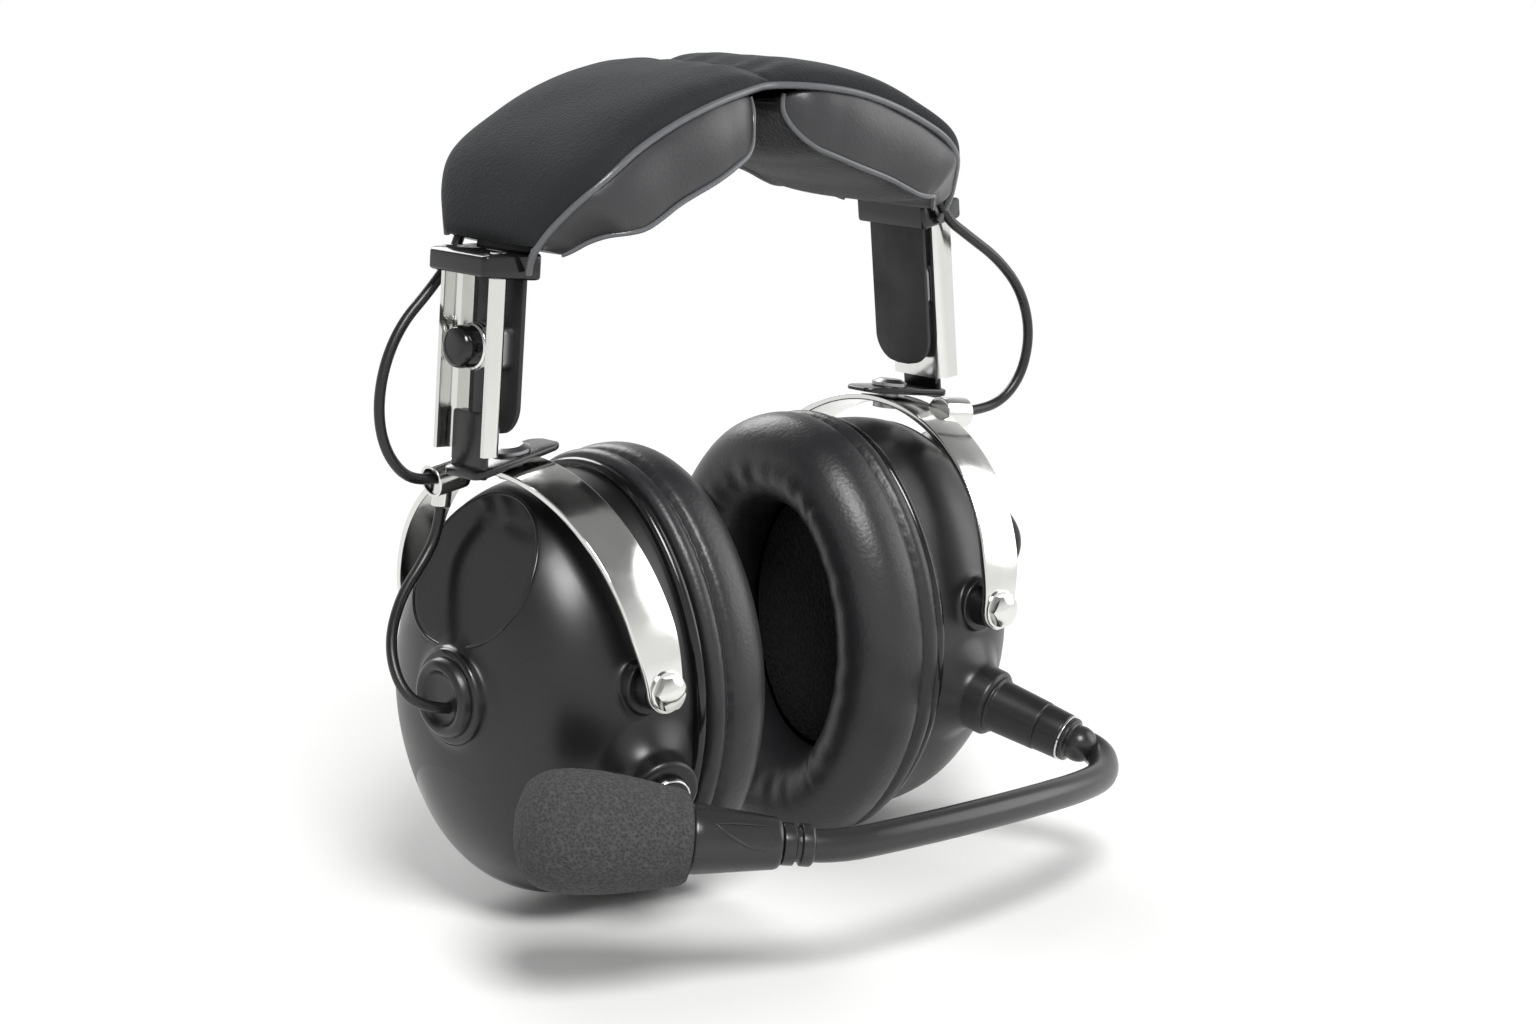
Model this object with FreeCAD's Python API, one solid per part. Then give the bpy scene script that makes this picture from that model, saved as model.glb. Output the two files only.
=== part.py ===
"""Aviation headset: two dome cups on a sprung headband, with a microphone boom on the left cup.

Millimetres. +X is the wearer's left, -Y the front, +Z up. The origin lies at ear level, midway
between the two ear seals. Each side is built on the left and mirrored for the right.
"""
import FreeCAD
import Part
import math
import os

V = FreeCAD.Vector
CENTRE = V(0, 0, 0)
UP = V(0, 0, 1)
ALONG_X = V(1, 0, 0)
ALONG_Y = V(0, 1, 0)

# Clearances
RUNNING_GAP = 0.3       # between faces of pieces that move on each other
PIN_CLEARANCE = 0.06    # radial, a pin in its hole
SEAT_GAP = 0.25         # between a soft piece and its neighbour

# Ear seals and cups, at ear level
HALF_GAP = 15.0         # from the middle of the head space to a seal's face
SEAL_HEIGHT = 106.0
SEAL_WIDTH = 84.0
SEAL_THICKNESS = 21.5
SEAL_RING_END = 22.0    # from the seal's outside to its opening, at the top and the bottom
SEAL_RING_SIDE = 21.0   # the same at the front and the rear
SEAL_CREST_END = 2.5    # flat crest between opening and outside, at the top and the bottom
SEAL_CREST_SIDE = 1.5   # the same at the front and the rear
SEAL_FOOT_CUT = 0.5     # flat that the headset stands on
BAFFLE_THICKNESS = 3.0
BAFFLE_INSET = 2.0      # the baffle's edge lies this far inside the seal's
BAFFLE_EDGE_ROUND = 1.3
END_ROUNDNESS = 0.81    # an oval's end radius, as a share of its half width
CUP_INSET = 4.0         # the cup's rim lies this far inside the seal's edge
CUP_DEPTH = 41.0
CUP_WALL = 2.2
FACET_TILT = 30.7       # degrees that the facet leans back from upright
FACET_START = 23.0      # the facet's plane passes this far out from the rim
FACET_HEIGHT = 43.5     # at this height

# Hub on the cup's outer face, where the crossover cable goes in
HUB_RADIUS = 11.0
HUB_Y = -4.0
HUB_Z = 4.0
HUB_STAND = 2.0         # beyond the dome's end
HUB_ROOT = 14.0         # how far behind the dome's end the hub starts
HUB_CAP_RADIUS = 8.6
HUB_CAP_DEPTH = 4.0
HUB_CAP_SINK = 1.6
HUB_DISH_RADIUS = 6.2
HUB_DISH_DEPTH = 2.0

# Pieces inside a cup
SPEAKER_RADIUS = 20.0
SPEAKER_DEPTH = 7.0
SPEAKER_WINDOW = 16.5
SCREEN_THICKNESS = 2.5
FOAM_THICKNESS = 11.0
FOAM_MARGIN = 4.0       # inside the cup's inner wall

# Stirrup, an upside-down U of flat strip over each cup
STIRRUP_X = 53.0
STIRRUP_WIDTH = 12.0
STIRRUP_THICKNESS = 1.6
STIRRUP_CLEARANCE = 1.8 # from the seal's edge to the middle of the strip
STIRRUP_LEG = 1.2       # straight part above the pivots, below the half circle
STIRRUP_LEAN = 8.0      # degrees that it leans out from upright, about the pivots
PIVOT_Z = 8.0
PIVOT_SCREW_RADIUS = 2.0
PIVOT_HEAD_RADIUS = 4.2
PIVOT_HEAD_HEIGHT = 3.0
PIVOT_BUSH_RADIUS = 4.8
PIVOT_BOSS_RADIUS = 6.4
PIVOT_BOSS_STAND = 1.0
PIVOT_BOSS_LENGTH = 9.0 # from its face to its root inside the dome's wall
PIVOT_GRIP = 2.4        # how far a pivot screw reaches into its boss

# Headband spring: a crown arc, two shoulder arcs and two straight sides that lean out
CROWN_RISE = 77.2       # from the stirrup's top to the band's crown
CROWN_RADIUS = 92.0
CROWN_TURN = 33.0       # degrees from the crown to the shoulder
SHOULDER_RADIUS = 26.0
SIDE_LEAN = 5.0         # degrees
SIDE_LENGTH = 36.0
BAND_WIDTH = 18.0
BAND_THICKNESS = 1.2
BAND_END_ROUND = 7.0

# Hanger: a channel outside the band, clamped by a thumb knob through its slot
HANGER_WIDTH = 18.0
HANGER_SHEET = 1.2
HANGER_FLANGE = 5.5
HANGER_SPACE = 3.2      # between the band and the hanger's web
HANGER_TOP = 5.0        # above the shoulder's end
HANGER_BOTTOM = 40.0    # below the shoulder's end
SLOT_WIDTH = 5.2
SLOT_BOTTOM = 35.0      # below the shoulder's end
HEIGHT_TRAVEL = 17.0
KNOB_DROP = 16.5        # below the shoulder's end
KNOB_RADIUS = 4.8
KNOB_HEIGHT = 6.4
KNOB_STUD_RADIUS = 2.0
WASHER_RADIUS = 5.3
WASHER_THICKNESS = 1.0
BLOCK_WIDTH = 13.0
BLOCK_HEIGHT = 10.0

# Keeper, a sleeve at the pad's low end that the hanger slides through
KEEPER_WIDTH = 23.0
KEEPER_HEIGHT = 6.0
KEEPER_WALL = 1.8
KEEPER_RISE = -1.0      # its lower edge above the shoulder's end
KEEPER_BEVEL = 1.5

# Swivel bracket at the hanger's foot and its pin
FOOT_THICKNESS = 1.9
FOOT_WIDTH = 13.0
FOOT_GAP = 0.5          # above the stirrup
FOOT_LEG_HEIGHT = 9.0
FOOT_DROP = 5.6         # from the hanger's bottom to the leg's
FOOT_LEG_WIDTH = 12.0
SWIVEL_PIN_RADIUS = 2.5
SWIVEL_HEAD_RADIUS = 4.4
SWIVEL_HEAD_HEIGHT = 1.6

# Head pad
PAD_LOW_TURN = 72.0     # degrees from the crown to the pad's low end
COVER_HALF_WIDTH = 25.5 # at its widest
COVER_GAP = 3.1         # between the band's outer face and the cover
PAD_GAP = 0.3           # between the band's inner face and a cushion
PAD_LIP = 1.3           # a cushion's raised edge beside the studs, at its top
STUD_RADIUS = 3.5
STUD_TURNS = (14.0, 42.0)
STUD_Y = 20.0

# Cables and the boom's tube: how much of a run a bend at its end takes
BEND_SHARE = 0.45
END_BEND_SHARE = 0.9    # on a first or last run, which has one bend

# Cables
CABLE_RADIUS = 1.25
CROSSOVER_Y = 13.2      # where the crossover cable leaves the pad, in front on the left
CROSSOVER_TURN = 30.0   # degrees from the crown over which it crosses the band
CROSSOVER_END = 2.0     # degrees inside the pad's low end
CROSSOVER_STEPS = 11
CLIP_OUT_RADIUS = 3.8
CLIP_BORE_RADIUS = 3.0
CLIP_BORE_LENGTH = 6.5
CLIP_LENGTH = 8.0
CLIP_Y = -12.5
CLIP_SPOUT_RADIUS = 2.2
CLIP_SPOUT_LENGTH = 3.0 # beyond the barrel
CLIP_SPOUT_TURN = 18.0  # degrees that the spout points out from the stirrup's plane
CABLE_IN_CLIP = 3.0     # how far the loop's end lies inside the clip's mouth
LOOP_FIRST_RUN = 6.0
TAIL_FIRST_RUN = 5.6
TAIL_SINK = 1.0         # into the hub cap's dish
TAIL_OFFSET_Y = -1.2    # from the hub's middle
TAIL_OFFSET_Z = -2.4
CABLE_HOLE_MARGIN = 0.5 # round the tail and below it, in the hub cap

# Volume control on the left facet
VOLUME_BASE_RADIUS = 8.2
VOLUME_BASE_HEIGHT = 3.4
VOLUME_KNOB_RADIUS = 9.2
VOLUME_KNOB_HEIGHT = 6.6
VOLUME_CAP_RADIUS = 4.6
VOLUME_CAP_HEIGHT = 2.2
VOLUME_SHAFT_RADIUS = 3.0
VOLUME_BUSH_WALL = 1.0
VOLUME_POT_RADIUS = 8.0
VOLUME_POT_DEPTH = 7.0
VOLUME_Y = -2.0
VOLUME_RISE = 26.0      # from the hub's height

# Boom socket, on the front of each cup
SOCKET_STAND = 2.0      # in front of the seal's front edge
SOCKET_BASE = V(STIRRUP_X, -(SEAL_WIDTH / 2 + SOCKET_STAND), -15.8)
SOCKET_WAY = V(0.254, -0.926, -0.272).normalize()
SOCKET_BOSS_RADIUS = 8.2
SOCKET_BOSS_ROOT_RADIUS = 11.0
SOCKET_BOSS_LENGTH = 14.0
SPIGOT_RADIUS = 3.9
SPIGOT_LENGTH = 7.0
SOCKET_RADIUS = 6.1
SOCKET_LENGTH = 19.5
COLLAR_RADIUS = 5.6
COLLAR_LENGTH = 5.0
COLLAR_GROOVE = 0.7
COLLAR_DOME = 1.8       # how far its rounded end draws in
PLUG_RADIUS = 5.2
PLUG_STAND = 2.4

# Boom tube and microphone
TUBE_RADIUS = 3.6
TUBE_POINTS = (V(55, -76.5, -26.5), V(43, -82, -25.2), V(22, -87, -22.8), V(-4, -89.4, -21),
               V(-27, -88.3, -20.2), V(-41, -85.6, -20.2))
TUBE_FIRST_RUN = 4.2
TUBE_LAST_RUN = 6.0
MIC_WAY = V(-0.837, 0.52, 0.124).normalize()
RING_RADIUS = 4.6
RING_LENGTH = 6.5
HOLDER_NECK_RADIUS = 5.6
HOLDER_RADIUS = 7.6
HOLDER_LENGTH = 20.0
CAPSULE_RADIUS = 5.0
CAPSULE_LENGTH = 22.0
MUFF_RADIUS = 13.1
MUFF_LENGTH = 36.0

# Main cable's gland on the left cup's lower rear wall
GLAND_OUT = 24.5        # from the cup's rim
GLAND_INSET = 19.0      # from the seal's rear edge
GLAND_RISE = 32.0       # above the seal's lowest point
GLAND_WAY = V(0.2, 0.78, -0.59).normalize()
GLAND_RADIUS = 5.2
GLAND_LENGTH = 21.0
GLAND_COLLAR_RADIUS = 7.0
GLAND_COLLAR_START = 9.0
GLAND_COLLAR_LENGTH = 5.0
GLAND_BORE_RADIUS = 3.3
GLAND_BORE_LENGTH = 12.0
GLAND_LEAD_RADIUS = 2.0

# Places that follow from the sizes above
SEAL_BACK = HALF_GAP + SEAL_THICKNESS
CUP_RIM = SEAL_BACK + BAFFLE_THICKNESS
CUP_END = CUP_RIM + CUP_DEPTH
HUB_FACE = CUP_END + HUB_STAND
GLAND_BASE = V(CUP_RIM + GLAND_OUT, SEAL_WIDTH / 2 - GLAND_INSET, GLAND_RISE - SEAL_HEIGHT / 2)
STIRRUP_HALF_SPAN = SEAL_WIDTH / 2 + STIRRUP_CLEARANCE
STIRRUP_ARCH_Z = PIVOT_Z + STIRRUP_LEG
STIRRUP_TOP = STIRRUP_ARCH_Z + STIRRUP_HALF_SPAN + STIRRUP_THICKNESS / 2
CROWN_Z = STIRRUP_TOP + CROWN_RISE
LEG_INSIDE = STIRRUP_HALF_SPAN - STIRRUP_THICKNESS / 2
LEG_OUTSIDE = STIRRUP_HALF_SPAN + STIRRUP_THICKNESS / 2
SIDE_TURN = 90.0 - SIDE_LEAN
WEB_INSIDE = BAND_THICKNESS / 2 + HANGER_SPACE
WEB_OUTSIDE = WEB_INSIDE + HANGER_SHEET


def rad(degrees):
    return math.radians(degrees)


def block(x0, x1, y0, y1, z0, z1):
    """A box between two corners."""
    return Part.makeBox(x1 - x0, y1 - y0, z1 - z0, V(x0, y0, z0))


def rod(start, way, radius, length, end_radius=None):
    """A cylinder from start along way, or a cone if it has another end radius."""
    if end_radius is None:
        return Part.makeCylinder(radius, length, start, way)
    return Part.makeCone(radius, end_radius, length, start, way)


def turned(profile, start, way):
    """A solid of revolution: profile is (distance along way, radius) points, closed on the axis."""
    ends = [(profile[0][0], 0.0)] + list(profile) + [(profile[-1][0], 0.0)]
    points = [V(radius, 0, along) for along, radius in ends]
    face = Part.Face(Part.makePolygon(points + points[:1]))
    solid = face.revolve(CENTRE, UP, 360)
    solid.Placement = FreeCAD.Placement(start, FreeCAD.Rotation(UP, way))
    return solid


def solid_of(shape):
    """The single solid inside a boolean result."""
    assert len(shape.Solids) == 1, len(shape.Solids)
    return shape.Solids[0]


def mirrored(shape):
    """The right side's copy of a left side piece."""
    return shape.mirror(CENTRE, ALONG_X)


def save(name, shape):
    """Writes one piece, after a test that its solids are sound."""
    assert shape.isValid(), name
    assert all(solid.Volume > 0 for solid in shape.Solids), name
    shape.exportStep(f"parts/{name}.step")


def save_pair(name, shape):
    """Writes a left side piece and its mirrored right side piece."""
    save(name + "_left", shape)
    save(name + "_right", mirrored(shape))


def oval(x, half_height, half_width):
    """A closed outline of four tangent arcs in the plane at x, tall along Z."""
    end = END_ROUNDNESS * half_width
    rise = half_height - end
    side = (rise ** 2 + half_width ** 2 - end ** 2) / (2 * (half_width - end))
    way = V(0, side - half_width, rise).normalize()
    join_y = way.y * end
    join_z = rise + way.z * end
    top = Part.Arc(V(x, join_y, join_z), V(x, 0, half_height), V(x, -join_y, join_z))
    front = Part.Arc(V(x, -join_y, join_z), V(x, -half_width, 0), V(x, -join_y, -join_z))
    bottom = Part.Arc(V(x, -join_y, -join_z), V(x, 0, -half_height), V(x, join_y, -join_z))
    rear = Part.Arc(V(x, join_y, -join_z), V(x, half_width, 0), V(x, join_y, join_z))
    return Part.Wire([arc.toShape() for arc in (top, front, bottom, rear)])


def oval_loft(sections):
    """A smooth solid through ovals given as (x, half height, half width)."""
    return Part.makeLoft([oval(*section) for section in sections], True, False)


def oval_plate(x0, x1, half_height, half_width):
    """A flat oval plate between two planes of x."""
    face = Part.Face(oval(x0, half_height, half_width))
    return face.extrude(V(x1 - x0, 0, 0))


def bent_tube(points, radius):
    """A round tube along straight runs joined by tangent arcs. Prints its bend radii."""
    count = len(points)
    runs = [(points[i + 1] - points[i]).Length for i in range(count - 1)]
    edges = []
    radii = []
    last = points[0]
    for i in range(1, count - 1):
        back = (points[i - 1] - points[i]).normalize()
        ahead = (points[i + 1] - points[i]).normalize()
        turn = math.pi - back.getAngle(ahead)
        before = END_BEND_SHARE if i == 1 else BEND_SHARE
        after = END_BEND_SHARE if i == count - 2 else BEND_SHARE
        reach = min(before * runs[i - 1], after * runs[i])
        bend = reach / math.tan(turn / 2)
        radii.append(round(bend, 1))
        start = points[i] + back * reach
        end = points[i] + ahead * reach
        inward = (back + ahead).normalize()
        middle = points[i] + inward * (bend / math.cos(turn / 2) - bend)
        edges.append(Part.LineSegment(last, start).toShape())
        edges.append(Part.Arc(start, middle, end).toShape())
        last = end
    edges.append(Part.LineSegment(last, points[-1]).toShape())
    way = points[1] - points[0]
    circle = Part.Wire([Part.Circle(points[0], way, radius).toShape()])
    tube = Part.Wire(edges).makePipeShell([circle], True, False)
    share = tube.Volume / (math.pi * radius ** 2 * sum(edge.Length for edge in edges))
    print("tube radii", radii, "volume share", round(share, 4))
    return tube


def band_station(turn):
    """The band's middle line where it has turned so many degrees from the crown: place, outward."""
    crown = min(turn, CROWN_TURN)
    x = CROWN_RADIUS * math.sin(rad(crown))
    z = CROWN_Z - CROWN_RADIUS * (1 - math.cos(rad(crown)))
    if turn > CROWN_TURN:
        x += SHOULDER_RADIUS * (math.sin(rad(turn)) - math.sin(rad(CROWN_TURN)))
        z -= SHOULDER_RADIUS * (math.cos(rad(CROWN_TURN)) - math.cos(rad(turn)))
    return V(x, 0, z), V(math.sin(rad(turn)), 0, math.cos(rad(turn)))


SIDE_START, SIDE_OUTWARD = band_station(SIDE_TURN)


def side_placement():
    """The place of the shoulder's end, with the side's lean."""
    return FreeCAD.Placement(SIDE_START, FreeCAD.Rotation(ALONG_Y, SIDE_TURN - 90))


def lean(shape):
    """Places a side piece that was built upright, with the shoulder's end at (0, 0, 0)."""
    shape.Placement = side_placement().multiply(shape.Placement)
    return shape


def leaned_point(x, y, z):
    """Where lean puts a point."""
    return side_placement().multVec(V(x, y, z))


def lean_out(shape):
    """Leans a piece on the stirrup outwards, about the cup's pivots."""
    shape.rotate(V(STIRRUP_X, 0, PIVOT_Z), ALONG_Y, STIRRUP_LEAN)
    return shape


def leaned_out_point(point, degrees=STIRRUP_LEAN):
    """Where the stirrup's lean takes a point."""
    pivot = V(STIRRUP_X, 0, PIVOT_Z)
    return pivot + FreeCAD.Rotation(ALONG_Y, degrees).multVec(point - pivot)


def headband_spring():
    """A steel strip bent to the crown, the shoulders and the two sides, with rounded ends."""
    edges = []
    for offset in (BAND_THICKNESS / 2, -BAND_THICKNESS / 2):
        def at(turn, side, drop=0.0, offset=offset):
            place, outward = band_station(turn)
            point = place + outward * offset
            point += V(outward.z, 0, -outward.x) * drop
            return V(point.x * side, 0, point.z)
        half_shoulder = (CROWN_TURN + SIDE_TURN) / 2
        edges.append(Part.Arc(at(CROWN_TURN, -1), at(0, 1), at(CROWN_TURN, 1)).toShape())
        for side in (-1, 1):
            shoulder = (at(CROWN_TURN, side), at(half_shoulder, side), at(SIDE_TURN, side))
            edges.append(Part.Arc(*shoulder).toShape())
            low = at(SIDE_TURN, side, SIDE_LENGTH)
            edges.append(Part.LineSegment(at(SIDE_TURN, side), low).toShape())
    for side in (-1, 1):
        place, outward = band_station(SIDE_TURN)
        low = place + V(outward.z, 0, -outward.x) * SIDE_LENGTH
        half = outward * (BAND_THICKNESS / 2)
        ends = [V(p.x * side, 0, p.z) for p in (low + half, low - half)]
        edges.append(Part.LineSegment(*ends).toShape())
    outline = Part.Wire(Part.__sortEdges__(edges))
    strip = Part.Face(outline).extrude(V(0, BAND_WIDTH, 0))
    strip.translate(V(0, -BAND_WIDTH / 2, 0))
    low_z = SIDE_START.z - SIDE_LENGTH * 0.9
    corners = [e for e in strip.Edges
               if abs(e.Length - BAND_THICKNESS) < 0.01 and e.CenterOfMass.z < low_z]
    return strip.makeFillet(BAND_END_ROUND, corners)


def pad_section(turn, side, width, low, high, crown, bulge):
    """A cushion's outline across the band: flat on one face, crowned on the other, full sides."""
    place, outward = band_station(abs(turn))
    place = V(place.x * side, 0, place.z)
    outward = V(outward.x * side, 0, outward.z)

    def at(y, height):
        return place + outward * height + V(0, y, 0)
    half = width / 2
    middle = (low + high) / 2
    flat = Part.LineSegment(at(half, low), at(-half, low))
    front = Part.Arc(at(-half, low), at(-half - bulge, middle), at(-half, high))
    top = Part.Arc(at(-half, high), at(0, high + crown), at(half, high))
    rear = Part.Arc(at(half, high), at(half + bulge, middle), at(half, low))
    return Part.Wire([edge.toShape() for edge in (flat, front, top, rear)])


def head_pad_cover():
    """The cover's two halves, full on each side of a pinched seam at the crown."""
    low = BAND_THICKNESS / 2 + COVER_GAP
    full = 2 * COVER_HALF_WIDTH
    half = [
        (0.0, 0.8 * full, 2.0, 0.5, 0.3),
        (4.5, 0.89 * full, 3.4, 1.0, 0.5),
        (12.0, 0.98 * full, 4.4, 1.6, 0.6),
        (26.0, full, 4.4, 1.6, 0.6),
        (42.0, 0.98 * full, 3.8, 1.3, 0.6),
        (54.0, 0.85 * full, 3.0, 1.0, 0.5),
        (64.0, 0.71 * full, 2.5, 0.8, 0.4),
        (PAD_LOW_TURN, 0.6 * full, 2.0, 0.5, 0.3),
    ]
    sections = []
    for side, rows in ((-1, reversed(half)), (1, half[1:])):
        for turn, width, thickness, crown, bulge in rows:
            high = low + thickness
            sections.append(pad_section(turn, side, width, low, high, crown, bulge))
    return Part.makeLoft(sections, True, False)


def cushion_section(turn, half, bulge, rise, depth, crown):
    """A cushion's outline across the band: a channel for the band and the studs between two lips,
    full sides that swell below the lips, and a crowned underside."""
    place, outward = band_station(turn)
    floor = -(BAND_THICKNESS / 2 + PAD_GAP)
    low = floor - depth

    def at(y, height):
        return place + outward * height + V(0, y, 0)
    inner = half - PAD_LIP
    foot = half + 0.3 * bulge
    widest = half + bulge
    middle = (rise + low) / 2
    lines = [(at(half, rise), at(inner, rise)), (at(inner, rise), at(inner, floor)),
             (at(inner, floor), at(-inner, floor)), (at(-inner, floor), at(-inner, rise)),
             (at(-inner, rise), at(-half, rise))]
    edges = [Part.LineSegment(*ends).toShape() for ends in lines]
    front = Part.Arc(at(-half, rise), at(-widest, middle), at(-foot, low))
    under = Part.Arc(at(-foot, low), at(0, low - crown), at(foot, low))
    rear = Part.Arc(at(foot, low), at(widest, middle), at(half, rise))
    return Part.Wire(edges + [arc.toShape() for arc in (front, under, rear)])


def head_pad_cushion():
    """The left cushion round the band's sides: rounded at the crown, thin at its low end."""
    rise = BAND_THICKNESS / 2 + COVER_GAP - SEAT_GAP
    full = COVER_HALF_WIDTH
    rows = [
        (3.0, 0.76 * full, 0.8, 0.2 * rise, 4.5, 1.0),
        (5.5, 0.89 * full, 2.2, 0.7 * rise, 9.5, 1.8),
        (12.0, 0.99 * full, 3.6, rise, 12.5, 2.2),
        (24.0, full, 4.0, rise, 13.0, 2.2),
        (38.0, full, 3.6, rise, 12.0, 2.0),
        (45.0, 0.99 * full, 3.0, rise, 10.6, 1.7),
        (54.0, 0.865 * full, 2.4, rise, 8.0, 1.4),
        (64.0, 0.73 * full, 1.8, rise, 5.6, 1.0),
        (PAD_LOW_TURN, 0.65 * full, 1.2, rise, 4.0, 0.8),
    ]
    return Part.makeLoft([cushion_section(*row) for row in rows], True, False)


def pad_studs():
    """Press studs that hold the cover and the cushions together beside the band."""
    studs = []
    height = BAND_THICKNESS + COVER_GAP + PAD_GAP - 2 * SEAT_GAP
    for turn in STUD_TURNS:
        place, outward = band_station(turn)
        for y in (-STUD_Y, STUD_Y):
            start = place + outward * (SEAT_GAP - BAND_THICKNESS / 2 - PAD_GAP) + V(0, y, 0)
            stud = rod(start, outward, STUD_RADIUS, height)
            studs += [stud, mirrored(stud)]
    return Part.makeCompound(studs)


def crossover_place(turn):
    """The crossover cable's middle so many degrees left of the crown, between band and cover."""
    place, outward = band_station(abs(turn))
    place = place + outward * ((BAND_THICKNESS + COVER_GAP) / 2)
    across = max(-1.0, min(1.0, turn / CROSSOVER_TURN))
    return V(math.copysign(place.x, turn), -CROSSOVER_Y * across, place.z)


def crossover_turns():
    """Degrees from the crown of the crossover cable's points on one side, close enough together
    that the cable clears the band."""
    low = PAD_LOW_TURN - CROSSOVER_END
    return [1.0 + (low - 1.0) * i / CROSSOVER_STEPS for i in range(CROSSOVER_STEPS + 1)]


def crossover_cable():
    """The cable's run under the cover, in front of the band on the left, behind it on the right."""
    turns = crossover_turns()
    points = [crossover_place(-turn) for turn in reversed(turns)]
    points += [crossover_place(turn) for turn in turns]
    return bent_tube(points, CABLE_RADIUS)


def crossover_end(side):
    """The crossover cable's end on one side, and the direction in which it leaves the pad."""
    before, last = crossover_turns()[-2:]
    end = crossover_place(side * last)
    return end, (end - crossover_place(side * before)).normalize()


def slide_keeper():
    """A bevelled sleeve round the band and the hanger's top."""
    inside = -BAND_THICKNESS / 2
    outside = WEB_INSIDE + HANGER_FLANGE + RUNNING_GAP
    half = KEEPER_WIDTH / 2
    high = KEEPER_RISE + KEEPER_HEIGHT
    sleeve = block(inside - KEEPER_WALL, outside + KEEPER_WALL, -half, half, KEEPER_RISE, high)
    bevelled = [e for e in sleeve.Edges if e.CenterOfMass.x > outside and e.Length > KEEPER_WALL]
    sleeve = sleeve.makeChamfer(KEEPER_BEVEL, bevelled)
    window = HANGER_WIDTH / 2 + RUNNING_GAP
    sleeve = lean(sleeve.cut(block(inside, outside, -window, window, KEEPER_RISE - 1, high + 1)))
    return solid_of(sleeve.cut(headband_spring()))


def slide_block():
    """A threaded block on the band's outer face, which the thumb knob screws into."""
    half = BLOCK_HEIGHT / 2
    inside = BAND_THICKNESS / 2
    outside = WEB_INSIDE - RUNNING_GAP
    wide = BLOCK_WIDTH / 2
    body = block(inside, outside, -wide, wide, -KNOB_DROP - half, -KNOB_DROP + half)
    body = body.makeFillet(2.0, [e for e in body.Edges if abs(e.Length - outside + inside) < 0.01])
    bore = rod(V(inside, 0, -KNOB_DROP), ALONG_X, KNOB_STUD_RADIUS + PIN_CLEARANCE, HANGER_SPACE)
    return lean(body.cut(bore))


def adjust_knob():
    """A thumb knob with its washer and stud."""
    seat = WEB_OUTSIDE + RUNNING_GAP
    back = BAND_THICKNESS / 2 + RUNNING_GAP
    cap = seat + WASHER_THICKNESS + KNOB_HEIGHT
    profile = [
        (back, KNOB_STUD_RADIUS),
        (seat, KNOB_STUD_RADIUS),
        (seat, WASHER_RADIUS),
        (seat + WASHER_THICKNESS, WASHER_RADIUS),
        (seat + WASHER_THICKNESS, KNOB_RADIUS),
        (cap - 1.2, KNOB_RADIUS),
        (cap - 0.4, KNOB_RADIUS - 0.8),
        (cap, KNOB_RADIUS - 2.2),
    ]
    return lean(turned(profile, V(0, 0, -KNOB_DROP), ALONG_X))


def hanger():
    """A channel with outward flanges and a long slot for the thumb knob."""
    half = HANGER_WIDTH / 2
    low = -HANGER_BOTTOM
    deep = WEB_INSIDE + HANGER_FLANGE
    channel = block(WEB_INSIDE, deep, -half, half, low, HANGER_TOP)
    inner = half - HANGER_SHEET
    channel = channel.cut(block(WEB_OUTSIDE, deep + 1, -inner, inner, low - 1, HANGER_TOP + 1))
    slot_top = -KNOB_DROP + HEIGHT_TRAVEL + SLOT_WIDTH / 2
    radius = SLOT_WIDTH / 2
    depth = HANGER_SHEET + 2
    start = WEB_INSIDE - 1
    slot = block(start, start + depth, -radius, radius, -SLOT_BOTTOM + radius, slot_top - radius)
    slot = slot.fuse(rod(V(start, 0, -SLOT_BOTTOM + radius), ALONG_X, radius, depth))
    slot = slot.fuse(rod(V(start, 0, slot_top - radius), ALONG_X, radius, depth))
    return lean(solid_of(channel.cut(slot)))


def swivel_bracket():
    """An angle: its leg is riveted inside the hanger's foot, its plate lies over the stirrup."""
    leg_low = -HANGER_BOTTOM - FOOT_DROP
    leg_high = -HANGER_BOTTOM + FOOT_LEG_HEIGHT
    half = FOOT_LEG_WIDTH / 2
    leg_face = WEB_OUTSIDE + FOOT_THICKNESS
    leg = lean(block(WEB_OUTSIDE, leg_face, -half, half, leg_low, leg_high))
    low = STIRRUP_TOP + FOOT_GAP
    end = leaned_out_point(leaned_point(leg_face, 0, leg_low), -STIRRUP_LEAN).x
    start = STIRRUP_X - STIRRUP_WIDTH / 2
    wide = FOOT_WIDTH / 2
    plate = block(start, end, -wide, wide, low, low + FOOT_THICKNESS)
    upright = [e for e in plate.Edges if abs(e.Length - FOOT_THICKNESS) < 0.01]
    plate = lean_out(plate.makeFillet(2.5, upright))
    hole = lean_out(rod(V(STIRRUP_X, 0, low - 1), UP, SWIVEL_PIN_RADIUS, FOOT_THICKNESS + 2))
    return solid_of(leg.fuse(plate).removeSplitter().cut(hole))


def swivel_pin():
    """A headed pin through the bracket's plate and the stirrup's crown."""
    plate_top = STIRRUP_TOP + FOOT_GAP + FOOT_THICKNESS
    under = STIRRUP_TOP - STIRRUP_THICKNESS - RUNNING_GAP
    profile = [
        (under - 1.2, SWIVEL_HEAD_RADIUS - 0.8),
        (under, SWIVEL_HEAD_RADIUS - 0.8),
        (under, SWIVEL_PIN_RADIUS),
        (plate_top, SWIVEL_PIN_RADIUS),
        (plate_top, SWIVEL_HEAD_RADIUS),
        (plate_top + SWIVEL_HEAD_HEIGHT / 2, SWIVEL_HEAD_RADIUS),
        (plate_top + SWIVEL_HEAD_HEIGHT, SWIVEL_HEAD_RADIUS - 1.6),
    ]
    return lean_out(turned(profile, V(STIRRUP_X, 0, 0), UP))


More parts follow.
